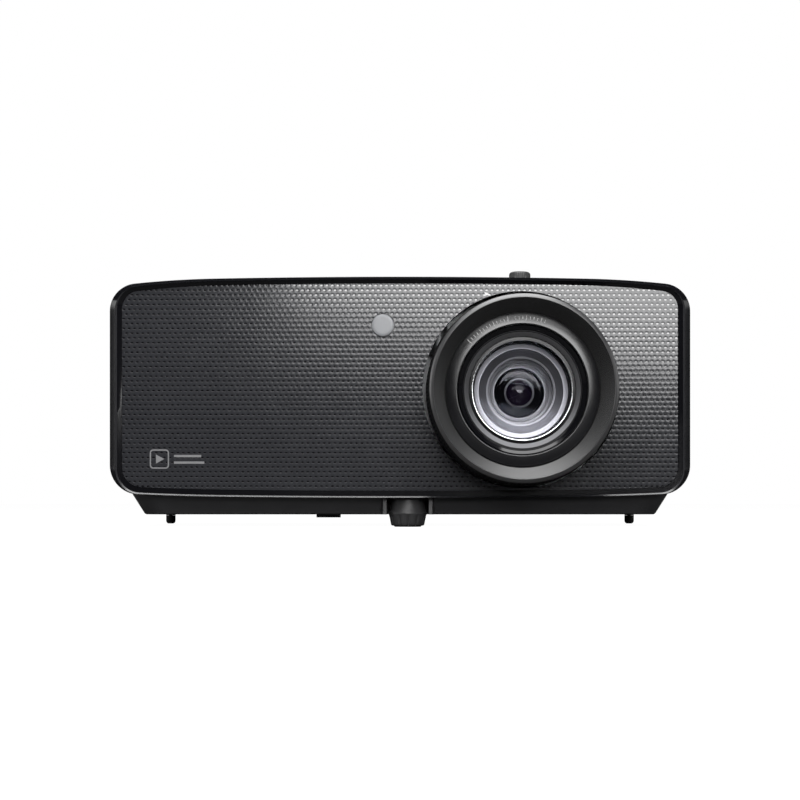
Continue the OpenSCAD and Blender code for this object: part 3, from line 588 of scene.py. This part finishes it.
def make_front_group():
    """The front cell, its retaining ring, the front element and the stepped baffle behind it."""
    cell = [(34.1, -5.9), (41.0, -5.9), (41.0, 2.9), (40.9, 12.5), (40.9, 24.2), (40.6, 24.9),
            (38.7, 23.7), (38.2, 22.5), (37.8, 22.3), (37.3, 22.9), (36.9, 22.8), (34.1, 21.8),
            (33.9, 20.4), (32.4, 20.4), (32.35, 10.5), (30.8, 10.5), (30.8, 8), (34.1, 4)]
    lens_piece("front_cell_body", cell, ["cell", "bezel", "inner_grey"], "focus_group",
               ["front_cell"], {5: 1, 7: 1, 8: 2, 10: 2})
    retainer = [(31.25, 20.5), (33.75, 20.5), (33.7, 21.3), (33.4, 21.6), (32.2, 21.7),
                (31.95, 21.95), (31.6, 21.9), (31.35, 21.4)]
    lens_piece("retaining_ring", retainer, ["silver", "cell"], "focus_group",
               ["front_retainer"], {1: 1, 2: 1, 3: 1})
    glass = dome(31.1, 3.2, 20.4) + [(32.2, 20.2), (32.2, 10.7)] + dome(30.7, -1.2, 10.6)[::-1]
    lens_piece("front_element", glass, ["front_glass"], "focus_group",
               ["front_glass"], closed=False, angle=50)
    # bright and grey steps that face inwards; the bright steps' light grey is a painted reflection,
    # standing in for the reflection rings of the glass elements
    baffle = [(33.8, 3.6), (30.7, 7.8), (30.3, 7.8), (30.0, 7.3), (27.6, 6.4), (27.2, 6.4),
              (27.0, 5.2), (22.2, 3.7), (21.8, 3.6), (21.6, 2.4), (21.2, 2.3), (21.0, 1.4),
              (21.0, -3.2), (33.8, -3.2)]
    lens_piece("front_baffle", baffle, ["baffle", "bright_ring_painted_reflection", "inner_grey"], "focus_group",
               rows={3: 1, 4: 1, 6: 2, 7: 1, 9: 1})


def make_zoom_group():
    """The zoom cell, and in it a bright seat, black glass, a grey ring and the small lens. The
    cell's and the seat's light grey is a painted reflection of the glass elements.
    """
    inner = [(18.8, -16), (19.2, -14.9), (20.4, -14.3), (21.2, -12.2), (23.2, -11.4),
             (24.6, -10.8), (25.3, -10.3), (26.2, -10), (27, -10.2), (27.4, -11), (28, -22),
             (41, -24), (41, -43.9), (17.3, -43.9), (17.3, -27), (18.8, -27)]
    lens_piece("zoom_cell_body", inner, ["bright_ring_painted_reflection"], "zoom_group", ["zoom_cell"])
    seat = [(18.7, -22), (18.7, -15.2), (18.3, -14.9), (16.9, -15.9), (16.6, -15.9), (16.3, -16.6),
            (16.3, -22)]
    lens_piece("zoom_seat", seat, ["bright_ring_painted_reflection"], "zoom_group")
    disc = [(16.25, -21), (16.25, -17.2), (15.9, -17.0), (13, -16.94), (10.1, -16.9),
            (9.9, -16.7), (9.6, -15.9), (8.8, -15.8), (8.4, -16.2), (8.4, -21)]
    lens_piece("zoom_mask", disc, ["black_glass", "inner_grey"], "zoom_group",
               rows={5: 1, 6: 1, 7: 1})
    core = dome(8.35, 2.1, -17.6) + [(8.35, -22), (0.01, -22)]
    lens_piece("zoom_element", core, ["core_glass"], "zoom_group",
               ["zoom_glass"], closed=False, angle=50)


def dome(r, sag, z):
    """Points of a shallow lens face from the axis out to the rim."""
    ball = (r * r + sag * sag) / (2 * abs(sag))
    sign = 1 if sag > 0 else -1
    out = []
    for i in range(17):
        u = r * i / 16
        out.append((u, z + sag - sign * (ball - math.sqrt(ball * ball - u * u))))
    return out


def make_focus_ring():
    """The long outer ring: ribbed outside, a chamfered rim, and a wide funnel inside."""
    ribs, per_rib = 150, 6
    segments = ribs * per_rib
    outer = [(60.2, 16.0), (60.7, 16.3), (60.85, 17.0)]
    grip = [(60.75, 18.6), (59.6, 36.4)]
    rim = [(59.45, 38.0), (59.3, 42.4), (59.2, 43.0), (58.9, 43.35), (57.0, 44.55),
           (56.8, 44.6), (56.6, 44.4), (56.55, 43.9)]
    bore = [(50.4, 24.2), (45, 24.15), (45, 16.0)]
    profile = outer + [(grip[0][0], 17.8)] + grip + [(grip[1][0] - 0.05, 37.2)] + rim + bore
    points, faces = turn(profile, LENS_AXIS, segments=segments,
                         groove=(0.55, (4, 5), per_rib, (3, 4)))
    first = profile.index(rim[2])
    rim_rows = {first, first + 1, first + 2, first + 3}
    index = [1 if i // segments in rim_rows else 0 for i in range(len(faces))]
    piece("focus_control_ring", points, faces, ["ring", "rim"], "focus_control",
          ["focus_ring"], index)
    # the funnel inside: fine threads that keep stray light out, each with a lit and a hidden side
    threads, step = 20, 0.22
    (mouth_r, mouth_t), (foot_r, foot_t) = (56.5, 43.9), (49.4, 24.3)
    lining = []
    for i in range(threads):
        r = mouth_r + (foot_r - mouth_r) * i / threads
        t = mouth_t + (foot_t - mouth_t) * i / threads
        lining += [(r, t), (r + (foot_r - mouth_r) / threads, t - step)]
    lining += [(foot_r, foot_t), (50.35, 24.3), (56.53, 43.5)]
    points, faces = turn(lining, LENS_AXIS, segments=192)
    piece("focus_funnel", points, faces, ["funnel"], "focus_control", (), angle=12)


# ---------- printed marks ----------
def ink_plate(loop, low, high):
    """A thin plate of ink over a closed X and Z loop in millimetres, between two depths."""
    rings = [[(mm(x), behind(d), mm(z)) for x, z in loop] for d in (low, high)]
    return loft(rings, close_ends=True)


def ink_band(outer, inner, low, high):
    """A thin band of ink between two loops with as many points each."""
    rings = [[(mm(x), behind(d), mm(z)) for x, z in loop]
             for loop, d in ((outer, low), (outer, high), (inner, high), (inner, low))]
    return loft(rings + [rings[0]])


def rounded_square(x, z, half, radius):
    """A closed loop round a place, in millimetres."""
    loop = []
    for sx, sz, start in ((1, 1, 0), (-1, 1, 90), (-1, -1, 180), (1, -1, 270)):
        for i in range(7):
            a = math.radians(start + 15 * i)
            loop.append((x + sx * (half - radius) + radius * math.cos(a),
                         z + sz * (half - radius) + radius * math.sin(a)))
    return loop


def join(parts):
    """Several lots of points and faces as one."""
    points, faces = [], []
    for some_points, some_faces in parts:
        first = len(points)
        points += some_points
        faces += [tuple(first + i for i in face) for face in some_faces]
    return points, faces


def make_corner_mark():
    """A generic sign in the panel's lower corner: a framed arrowhead and two plain bars."""
    x, z = MARK
    low, high = PANEL_FACE - 0.05, PANEL_FACE + 0.01
    parts = [ink_band(rounded_square(x, z, 6.2, 2.2), rounded_square(x, z, 5.4, 1.5), low, high),
             ink_plate([(x - 2.2, z - 2.9), (x + 3.0, z), (x - 2.2, z + 2.9)], low, high)]
    left, thick = x + 9.4, 1.5
    for rise, length in ((1.9, 17.5), (-2.3, 19.5)):
        under, over = z + rise - thick / 2, z + rise + thick / 2
        parts.append(ink_plate([(left, under), (left + length, under), (left + length, over),
                                (left, over)], low, high))
    points, faces = join(parts)
    piece("corner_mark", points, faces, ["mark"], "chassis")


def make_lens_marks():
    """A white arrowhead on the panel at the opening's rim, and plain strokes on the name ring."""
    a = math.radians(109.5)
    reach = OPENING_R + 1.9
    x = OPENING.x * 1000 + reach * math.cos(a)
    z = OPENING.z * 1000 + reach * math.sin(a)
    loop = [(x - 1.6, z - 1.35), (x + 1.6, z - 0.1), (x - 1.6, z + 1.35)]
    points, faces = ink_plate(loop, PANEL_FACE - 0.06, PANEL_FACE + 0.01)
    piece("zoom_index", points, faces, ["ink"], "chassis")
    points, faces = join([name_stroke(i) for i in range(22)])
    piece("name_ring_strokes", points, faces, ["ink"], "lens_carriage")


def name_stroke(number):
    """One stroke on the name ring's sloping face; every fourth is long, with a gap halfway."""
    middle, half_angle = 45.4, 0.0042
    slope = (NAME_IN[1] - NAME_OUT[1]) / (NAME_IN[0] - NAME_OUT[0])
    angle = math.radians(138 - 3 * number - (3 if number > 12 else 0))
    reach = 1.5 if number % 4 == 0 else 0.9
    corners = []
    for sink in (0.02, -0.05):
        for r, side in ((middle - reach, -1), (middle + reach, -1), (middle + reach, 1),
                        (middle - reach, 1)):
            t = NAME_OUT[1] + slope * (r - NAME_OUT[0]) - sink
            spin = angle + side * half_angle
            corners.append((LENS.x + mm(r) * math.cos(spin), FRONT - mm(t),
                            LENS.z + mm(r) * math.sin(spin)))
    return corners, [(0, 1, 2, 3), (4, 5, 6, 7), (0, 1, 5, 4), (1, 2, 6, 5), (2, 3, 7, 6),
                     (3, 0, 4, 7)]


def key_plate(loop, centre, top):
    """A thin plate of ink on a key's top, over a loop in millimetres from the key's middle."""
    rings = [[(centre.x + mm(x), centre.y + mm(y), top + mm(rise)) for x, y in loop]
             for rise in (-0.05, 0.02)]
    return loft(rings, close_ends=True)


def make_key_signs():
    """Plain signs on the keys: a broken ring and bar, three bars, arrowheads and a dot."""
    bars = [[(-2.4, y - 0.3), (2.4, y - 0.3), (2.4, y + 0.3), (-2.4, y + 0.3)]
            for y in (-1.6, 0, 1.6)]
    sweep = [math.radians(125 + 290 * i / 24) for i in range(25)]
    broken_ring = [(2.9 * math.cos(a), 2.9 * math.sin(a)) for a in sweep]
    broken_ring += [(2.3 * math.cos(a), 2.3 * math.sin(a)) for a in reversed(sweep)]
    dot = [(1.5 * math.cos(i * math.pi / 12), 1.5 * math.sin(i * math.pi / 12))
           for i in range(24)]
    signs = {"menu": bars, "enter": [dot],
             "power": [[(-0.3, 0.4), (0.3, 0.4), (0.3, 3.4), (-0.3, 3.4)], broken_ring]}
    for name, turned in (("right", 0), ("up", 90), ("left", 180), ("down", 270)):
        c, d = math.cos(math.radians(turned)), math.sin(math.radians(turned))
        signs[name] = [[(x * c - y * d, x * d + y * c)
                        for x, y in ((-1.0, -2.0), (1.4, 0.0), (-1.0, 2.0))]]
    for name, loops in signs.items():
        low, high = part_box(name + "_button")
        points, faces = join([key_plate(loop, (low + high) / 2, high.z) for loop in loops])
        piece(name + "_sign", points, faces, ["mark"], name + "_key")


# ---------- covers ----------
def body_rings(inset, front, back):
    """Rings of the housing from the bezel to the rear, with a rounded rear edge."""
    bend = BODY_DEPTH - 14 - inset / 4     # where the rear edge begins to round
    steps = [(1 + inset, 0.8 + inset, 0.6 + inset, front),
             (3 + inset, 1.2 + inset, 0.6 + inset, bend)]
    for i in range(1, 7):
        a = math.pi / 2 * i / 6
        turned_in = 1 - math.cos(a)
        steps.append((3 + inset + 5 * turned_in, 1.2 + inset + 4.8 * turned_in,
                      0.6 + inset + 4.4 * turned_in, bend + (back - bend) * math.sin(a)))
    return [ring_at(*step) for step in steps]


def body_outside():
    return solid("shell", *loft(body_rings(0, BEZEL_DEPTH, BODY_DEPTH), close_ends=True))


def body_inside():
    rings = body_rings(WALL, BEZEL_DEPTH - 1, BODY_DEPTH - WALL)
    return solid("hollow", *loft(rings, close_ends=True))


def cut_rear_window(shell):
    """The opening in the rear that the socket panel fills."""
    combine(shell, rounded_brick("rear", (mm(-152), mm(152)),
                                 (behind(BODY_DEPTH - 10), REAR + mm(2)), (mm(32), mm(112)),
                                 mm(4), "y"))


def solid(name, points, faces):
    """A loose working solid for cutting, not a piece yet."""
    mesh = bpy.data.meshes.new(name)
    mesh.from_pydata(points, [], faces)
    obj = bpy.data.objects.new(name, mesh)
    bpy.context.scene.collection.objects.link(obj)
    work = bmesh.new()
    work.from_mesh(mesh)
    bmesh.ops.recalc_face_normals(work, faces=work.faces)
    work.to_mesh(mesh)
    work.free()
    return obj


def brick(name, x, y, z):
    """A block between a low and a high X, Y and Z, in metres."""
    points = [(a, b, c) for a in x for b in y for c in z]
    faces = [(0, 1, 3, 2), (4, 5, 7, 6), (0, 1, 5, 4), (2, 3, 7, 6), (0, 2, 6, 4), (1, 3, 7, 5)]
    return solid(name, points, faces)


def rounded_brick(name, x, y, z, radius, axis, steps=5):
    """A block with its four edges along one axis rounded."""
    spans = {"x": (y, z, x), "y": (x, z, y), "z": (x, y, z)}
    (u0, u1), (v0, v1), (w0, w1) = spans[axis]
    loop = []
    for cu, cv, start in ((u1 - radius, v1 - radius, 0), (u0 + radius, v1 - radius, 90),
                          (u0 + radius, v0 + radius, 180), (u1 - radius, v0 + radius, 270)):
        for i in range(steps + 1):
            a = math.radians(start + 90 * i / steps)
            loop.append((cu + radius * math.cos(a), cv + radius * math.sin(a)))
    order = {"x": lambda u, v, w: (w, u, v), "y": lambda u, v, w: (u, w, v),
             "z": lambda u, v, w: (u, v, w)}[axis]
    rings = [[order(u, v, w) for u, v in loop] for w in (w0, w1)]
    return solid(name, *loft(rings, close_ends=True))


def rod(name, centre, r, low, high, axis="z", segments=48):
    """A round bar along +Z from low to high, or along -Y from its centre, in metres."""
    points, faces = turn([(r * 1000, 0), (r * 1000, (high - low) * 1000)],
                         (centre[0], centre[1], low) if axis == "z" else centre,
                         closed=False, segments=segments, axis=axis)
    cap(points, faces, segments)
    return solid(name, points, faces)


def combine(target, tool, operation="DIFFERENCE", solver="EXACT"):
    """Cuts, joins or intersects a working solid with another, which it uses up."""
    change = target.modifiers.new("cut", "BOOLEAN")
    change.operation = operation
    change.solver = solver
    change.object = tool
    apply_modifiers(target)
    mesh = tool.data
    bpy.data.objects.remove(tool)
    bpy.data.meshes.remove(mesh)


def soften(obj, width):
    """Rounds the sharp edges that cutting left."""
    bevel = obj.modifiers.new("soft", "BEVEL")
    bevel.width = mm(width)
    bevel.segments = 2
    bevel.limit_method = "ANGLE"
    bevel.angle_limit = math.radians(40)
    bevel.use_clamp_overlap = True
    apply_modifiers(obj)


def as_piece(obj, name, key, body, nodes=()):
    """Makes a working solid into a piece of one material."""
    obj.name = name
    obj.data.name = name
    obj.data.materials.clear()
    obj.data.materials.append(MAT[key])
    obj.data.polygons.foreach_set("material_index", [0] * len(obj.data.polygons))
    tidy_normals(obj)
    # large faces keep their own normals, so the cuts leave no streaks beside them
    even = obj.modifiers.new("even", "WEIGHTED_NORMAL")
    even.weight = 50
    even.keep_sharp = True
    apply_modifiers(obj)
    finish_piece(obj, body, nodes)


WIDE = BODY_HALF * 1.3     # beyond both sides, for cutting


def make_top_cover():
    """The upper shell, cut for the vents, the sockets, the keypad and the shift knob."""
    shell = body_outside()
    combine(shell, body_inside())
    combine(shell, brick("low", (-WIDE, WIDE), (FRONT, REAR + 1), (-1, mm(SPLIT_Z + 0.3))))
    for node in ("left_vent_grille", "right_vent_grille"):
        low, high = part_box(node)
        gap = mm(0.15)
        reach = (low.x - mm(6), high.x + mm(6))
        combine(shell, rounded_brick("vent", reach, (low.y - gap, high.y + gap),
                                     (low.z - gap, high.z + gap), mm(1.2), "x"))
    cut_rear_window(shell)
    low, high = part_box("keypad_panel")
    inset = mm(2.35)
    combine(shell, rounded_brick("keys", (low.x + inset, high.x - inset),
                                 (low.y + inset, high.y - inset), (mm(150), mm(170)),
                                 mm(3), "z"))
    low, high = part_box("shift_knob")
    knob = (low + high) / 2
    combine(shell, rod("well", knob, mm(9), mm(159.2), mm(172)))
    combine(shell, rod("bore", knob, mm(5), mm(150), mm(165)))
    soften(shell, 0.35)
    as_piece(shell, "top_shell", "cover", "chassis", ["top_cover"])


def make_knob():
    """The ribbed lens shift knob, on the stem that turns its lead screw."""
    low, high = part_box("shift_knob")
    knob = (low + high) / 2
    ribs, per_rib = 28, 4
    segments = ribs * per_rib
    profile = [(2.5, -24.5), (2.5, -10.6), (4, -10.6), (4, -6.1), (6.7, -6.1), (7.1, -5.7),
               (7.1, -2.0), (6.9, -1.2), (6.2, -0.4), (5.3, -0.05), (4.0, 0.0), (0.4, 0.0)]
    groove = (0.3, (5, 6), per_rib, (0, 1))
    points, faces = turn(profile, (knob.x, knob.y, high.z), False, segments, "z", groove)
    cap(points, faces, segments)
    piece("shift_dial", points, faces, ["knob"], "shift_control", ["shift_knob"])


def plan_ring(half, front, z, radius=9):
    """A ring of the underbody in plan, with rounded corners."""
    corners = [(half - 10, front), (half, front + 8), (half + 8.5, 165), (half + 9.5, 274),
               (half + 0.5, 286)]
    full = [(x, d) for x, d in corners] + [(-x, d) for x, d in corners[::-1]]
    out = []
    count = len(full)
    for i in range(count):
        a, b, c = Vector(full[i - 1]), Vector(full[i]), Vector(full[(i + 1) % count])
        size = min(radius, (a - b).length * 0.4, (c - b).length * 0.4)
        p, q = b + (a - b).normalized() * size, b + (c - b).normalized() * size
        for k in range(5):
            t = k / 4
            spot = p * (1 - t) ** 2 + b * 2 * t * (1 - t) + q * t * t
            out.append((mm(spot.x), behind(spot.y), mm(z)))
    return out


def screw_post(shell, spot, r, low, high, bores):
    """A post with bores, as radius, low and high in millimetres."""
    combine(shell, rod("post", spot, mm(r), mm(low), mm(high)), "UNION")
    for bore_r, bore_low, bore_high in bores:
        combine(shell, rod("bore", spot, mm(bore_r), mm(bore_low), mm(bore_high)))


def make_bottom_case():
    """The underbody: the housing's lower part on a narrower base, with its posts and pockets."""
    shell = body_outside()
    combine(shell, brick("high", (-WIDE, WIDE), (FRONT, REAR + 1), (mm(SPLIT_Z), 1)))
    base = [plan_ring(166.4, 18.2, 8.0), plan_ring(167.0, 17.4, 8.3), plan_ring(167.6, 16.6, 9.0),
            plan_ring(174.5, 10.7, 21), plan_ring(174.5, 10.7, 38)]
    combine(shell, solid("base", *loft(base, close_ends=True)), "UNION")
    hollow = body_inside()
    combine(hollow, brick("low", (-WIDE, WIDE), (FRONT - 1, REAR + 1), (-1, mm(24))))
    combine(shell, hollow)
    inner = [plan_ring(164.7, 19.5, 10.5), plan_ring(172, 13.2, 22), plan_ring(172, 13.2, 43)]
    combine(shell, solid("inner", *loft(inner, close_ends=True)))
    foot = Vector((FOOT.x, FOOT.y, 0))
    combine(shell, rod("boss", foot, mm(17.8), mm(8), mm(22)), "UNION")
    combine(shell, rod("stem", foot, mm(6.5), mm(21), mm(38)), "UNION")
    combine(shell, brick("front", (-WIDE, WIDE), (FRONT - 1, behind(10.1)), (-1, 1)))
    combine(shell, rod("pocket", foot, mm(15.8), mm(-1), mm(20)))
    combine(shell, rod("thread", foot, mm(3.06), mm(19), mm(50)))
    for node in ("rear_foot_screw_left", "rear_foot_screw_right"):
        low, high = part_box(node)
        spot = (low + high) / 2
        screw_post(shell, spot, 6.5, 8, 28, [(4.1, -1, 15), (2.56, 14, 50)])
    mounts = frame["record"]["mounts"]
    pattern = next(m for m in mounts if m["name"] == "ceiling_mount")
    half_x = mm(pattern["dims"]["spacing_x_mm"]) / 2
    half_y = mm(pattern["dims"]["spacing_y_mm"]) / 2
    for sx in (-1, 1):
        for sy in (-1, 1):
            spot = Vector((pattern["pos_m"][0] + sx * half_x,
                           pattern["pos_m"][1] + sy * half_y, 0))
            screw_post(shell, spot, 5.5, 9, 20, [(2.1, -1, 18), (3.4, -1, 8.5)])
    low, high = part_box("case_screws")
    head_r = mm(3.2)
    for x in (low.x + head_r, high.x - head_r):
        for y in (low.y + head_r, high.y - head_r):
            screw_post(shell, Vector((x, y, 0)), 5.5, 9, 25, [(1.8, -1, 30), (3.6, -1, 12)])
    low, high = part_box("air_cover")
    gap = mm(0.25)
    combine(shell, rounded_brick("tray", (low.x - gap, high.x + gap), (low.y - gap, high.y + gap),
                                 (mm(5), mm(9.2)), mm(2), "z"))
    combine(shell, rounded_brick("duct", (low.x + mm(8), high.x - mm(8)),
                                 (low.y + mm(8), high.y - mm(8)), (mm(5), mm(13)), mm(3), "z"))
    cut_rear_window(shell)
    soften(shell, 0.3)
    as_piece(shell, "under_shell", "base", "chassis", ["bottom_case"])


def make_front_foot():
    """The ribbed levelling knob on its threaded stud."""
    ribs, per_rib = 12, 8
    segments = ribs * per_rib
    profile = [(9.07, 3.0), (9.07, 0.9), (9.9, 0.75), (10.5, 0.95), (10.85, 1.5), (11.2, 3.2),
               (12.0, 7.0), (12.35, 8.2), (12.5, 8.8), (12.35, 9.4), (11.9, 10.2), (11.3, 12.6),
               (10.6, 16.2), (10.3, 18.0), (9.9, 18.35), (3.0, 18.35), (3.0, 40), (0.2, 40)]
    closing = [(0.2, 6.2), (2.07, 6.2), (2.07, 3.05)]
    groove = (0.7, range(3, 7), per_rib, (0, 1))
    points, faces = turn(profile + closing, (FOOT.x, FOOT.y, 0), True, segments, "z", groove)
    piece("front_foot_grip", points, faces, ["foot"], "front_knob",
          ["front_foot_knob"], angle=35)


def make_filter():
    """The dark dust filter behind the intake grille."""
    low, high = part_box("right_vent_grille")
    pad = rounded_brick("pad", (low.x - mm(1.8), low.x - mm(0.3)), (low.y, high.y),
                        (low.z, high.z), mm(1.2), "x")
    as_piece(pad, "dust_filter", "rubber", "chassis")


def make_ir_window():
    """The flat grey disc in the panel, with a flange behind it."""
    centre = (IR.x, behind(PANEL_FACE), IR.z)
    profile = [(0.05, 0.18), (5, 0.18), (6.85, 0.16), (7.05, 0.05), (7.1, -0.15), (7.1, -2.9),
               (9.1, -2.95), (9.1, -4.1), (0.05, -4.1)]
    points, faces = turn(profile, centre, segments=96)
    piece("ir_lens", points, faces, ["window"], "chassis", ["ir_window"])


# ---------- stage ----------
def area_light(name, place, target, size, radiance, roll=0):
    """A soft rectangle of light, as bright as it says all over, that the camera doesn't see."""
    light = bpy.data.lights.new(name, "AREA")
    light.shape = "RECTANGLE"
    light.size, light.size_y = size
    light.energy = radiance * math.pi * size[0] * size[1]
    obj = bpy.data.objects.new(name, light)
    bpy.context.scene.collection.objects.link(obj)
    aim = (Vector(target) - Vector(place)).to_track_quat("-Z", "Y").to_matrix()
    obj.rotation_euler = (aim @ Matrix.Rotation(math.radians(roll), 3, "Z")).to_euler()
    obj.location = place
    obj.visible_camera = False


def make_world():
    """A dim studio: grey all round, darkest where the camera stands, white behind the object."""
    world = bpy.data.worlds.new("studio")
    bpy.context.scene.world = world
    world.use_nodes = True
    tree = world.node_tree
    back = tree.nodes["Background"]
    place = tree.nodes.new("ShaderNodeTexCoord")
    facing = tree.nodes.new("ShaderNodeVectorMath")
    facing.operation = "DOT_PRODUCT"
    facing.inputs[1].default_value = (0, -1, 0)
    tree.links.new(place.outputs["Generated"], facing.inputs[0])
    glow = tree.nodes.new("ShaderNodeMapRange")
    glow.interpolation_type = "SMOOTHSTEP"
    glow.inputs["From Min"].default_value = 0.90
    glow.inputs["From Max"].default_value = 0.985
    glow.inputs["To Min"].default_value = WORLD_GREY
    glow.inputs["To Max"].default_value = WORLD_DARK
    tree.links.new(facing.outputs["Value"], glow.inputs["Value"])
    seen = tree.nodes.new("ShaderNodeLightPath")
    shade = tree.nodes.new("ShaderNodeMix")
    shade.data_type = "RGBA"
    shade.inputs["B"].default_value = (1, 1, 1, 1)
    tree.links.new(glow.outputs["Result"], shade.inputs["A"])
    tree.links.new(seen.outputs["Is Camera Ray"], shade.inputs["Factor"])
    tree.links.new(shade.outputs["Result"], back.inputs["Color"])


def make_floor():
    """A plain pale floor that throws little light up."""
    mesh = bpy.data.meshes.new("floor")
    span = 8
    mesh.from_pydata([(-span, -span, 0), (span, -span, 0), (span, span, 0), (-span, span, 0)], [],
                     [(0, 1, 2, 3)])
    floor = bpy.data.objects.new("floor", mesh)
    bpy.context.scene.collection.objects.link(floor)
    mat = bpy.data.materials.new("floor")
    mat.use_nodes = True
    tree = mat.node_tree
    shader = tree.nodes["Principled BSDF"]
    shader.inputs["Base Color"].default_value = (FLOOR_GREY, FLOOR_GREY, FLOOR_GREY, 1)
    shader.inputs["Roughness"].default_value = 0.9
    shader.inputs["Specular IOR Level"].default_value = 0.1
    shader.inputs["Emission Color"].default_value = (1, 1, 1, 1)
    seen = tree.nodes.new("ShaderNodeLightPath")
    white = tree.nodes.new("ShaderNodeMath")
    white.operation = "MULTIPLY"
    white.inputs[1].default_value = FLOOR_WHITE
    tree.links.new(seen.outputs["Is Camera Ray"], white.inputs[0])
    tree.links.new(white.outputs["Value"], shader.inputs["Emission Strength"])
    mesh.materials.append(mat)


def make_lights():
    """Soft boxes above and in front, a dim one at each side, and one behind."""
    area_light("overhead", (0.0, -0.45, 1.25), (0.0, -0.45, 0), (1.1, 0.8), 8)
    area_light("front_top", (0.1, -1.5, 1.2), (0.07, -0.15, 0.12), (2.1, 1.24), 3.9)
    area_light("front_high", (0.23, -2.1, 0.46), (0.05, 0, 0.1), (0.78, 0.4), 15, roll=-10)
    area_light("left_side", (-1.7, -0.48, 0.4), (0, -0.1, 0.1), (0.45, 0.8), 4.5)
    area_light("right_side", (1.7, -0.48, 0.4), (0, -0.1, 0.1), (0.45, 0.8), 2.5)
    area_light("rear", (0, 1.6, 0.9), (0, 0, 0.1), (1.2, 0.8), 2)


def make_camera():
    """The photograph's view: level, low, straight at the front."""
    distance = 1.4
    data = bpy.data.cameras.new("camera")
    data.sensor_width = 36
    data.lens = 97.95
    data.shift_y = 0.125
    camera = bpy.data.objects.new("camera", data)
    bpy.context.scene.collection.objects.link(camera)
    camera.location = (0, FRONT - distance, mm(17.4))
    camera.rotation_euler = (math.pi / 2, 0, 0)
    bpy.context.scene.camera = camera


bpy.context.scene.view_settings.view_transform = "Standard"
make_camera()
make_world()
make_floor()
make_lights()
dress_plain_nodes()
make_bezel()
make_panel()
make_ir_window()
make_lens()
make_corner_mark()
make_lens_marks()
make_key_signs()
make_knob()
make_front_foot()
make_top_cover()
make_bottom_case()
make_filter()
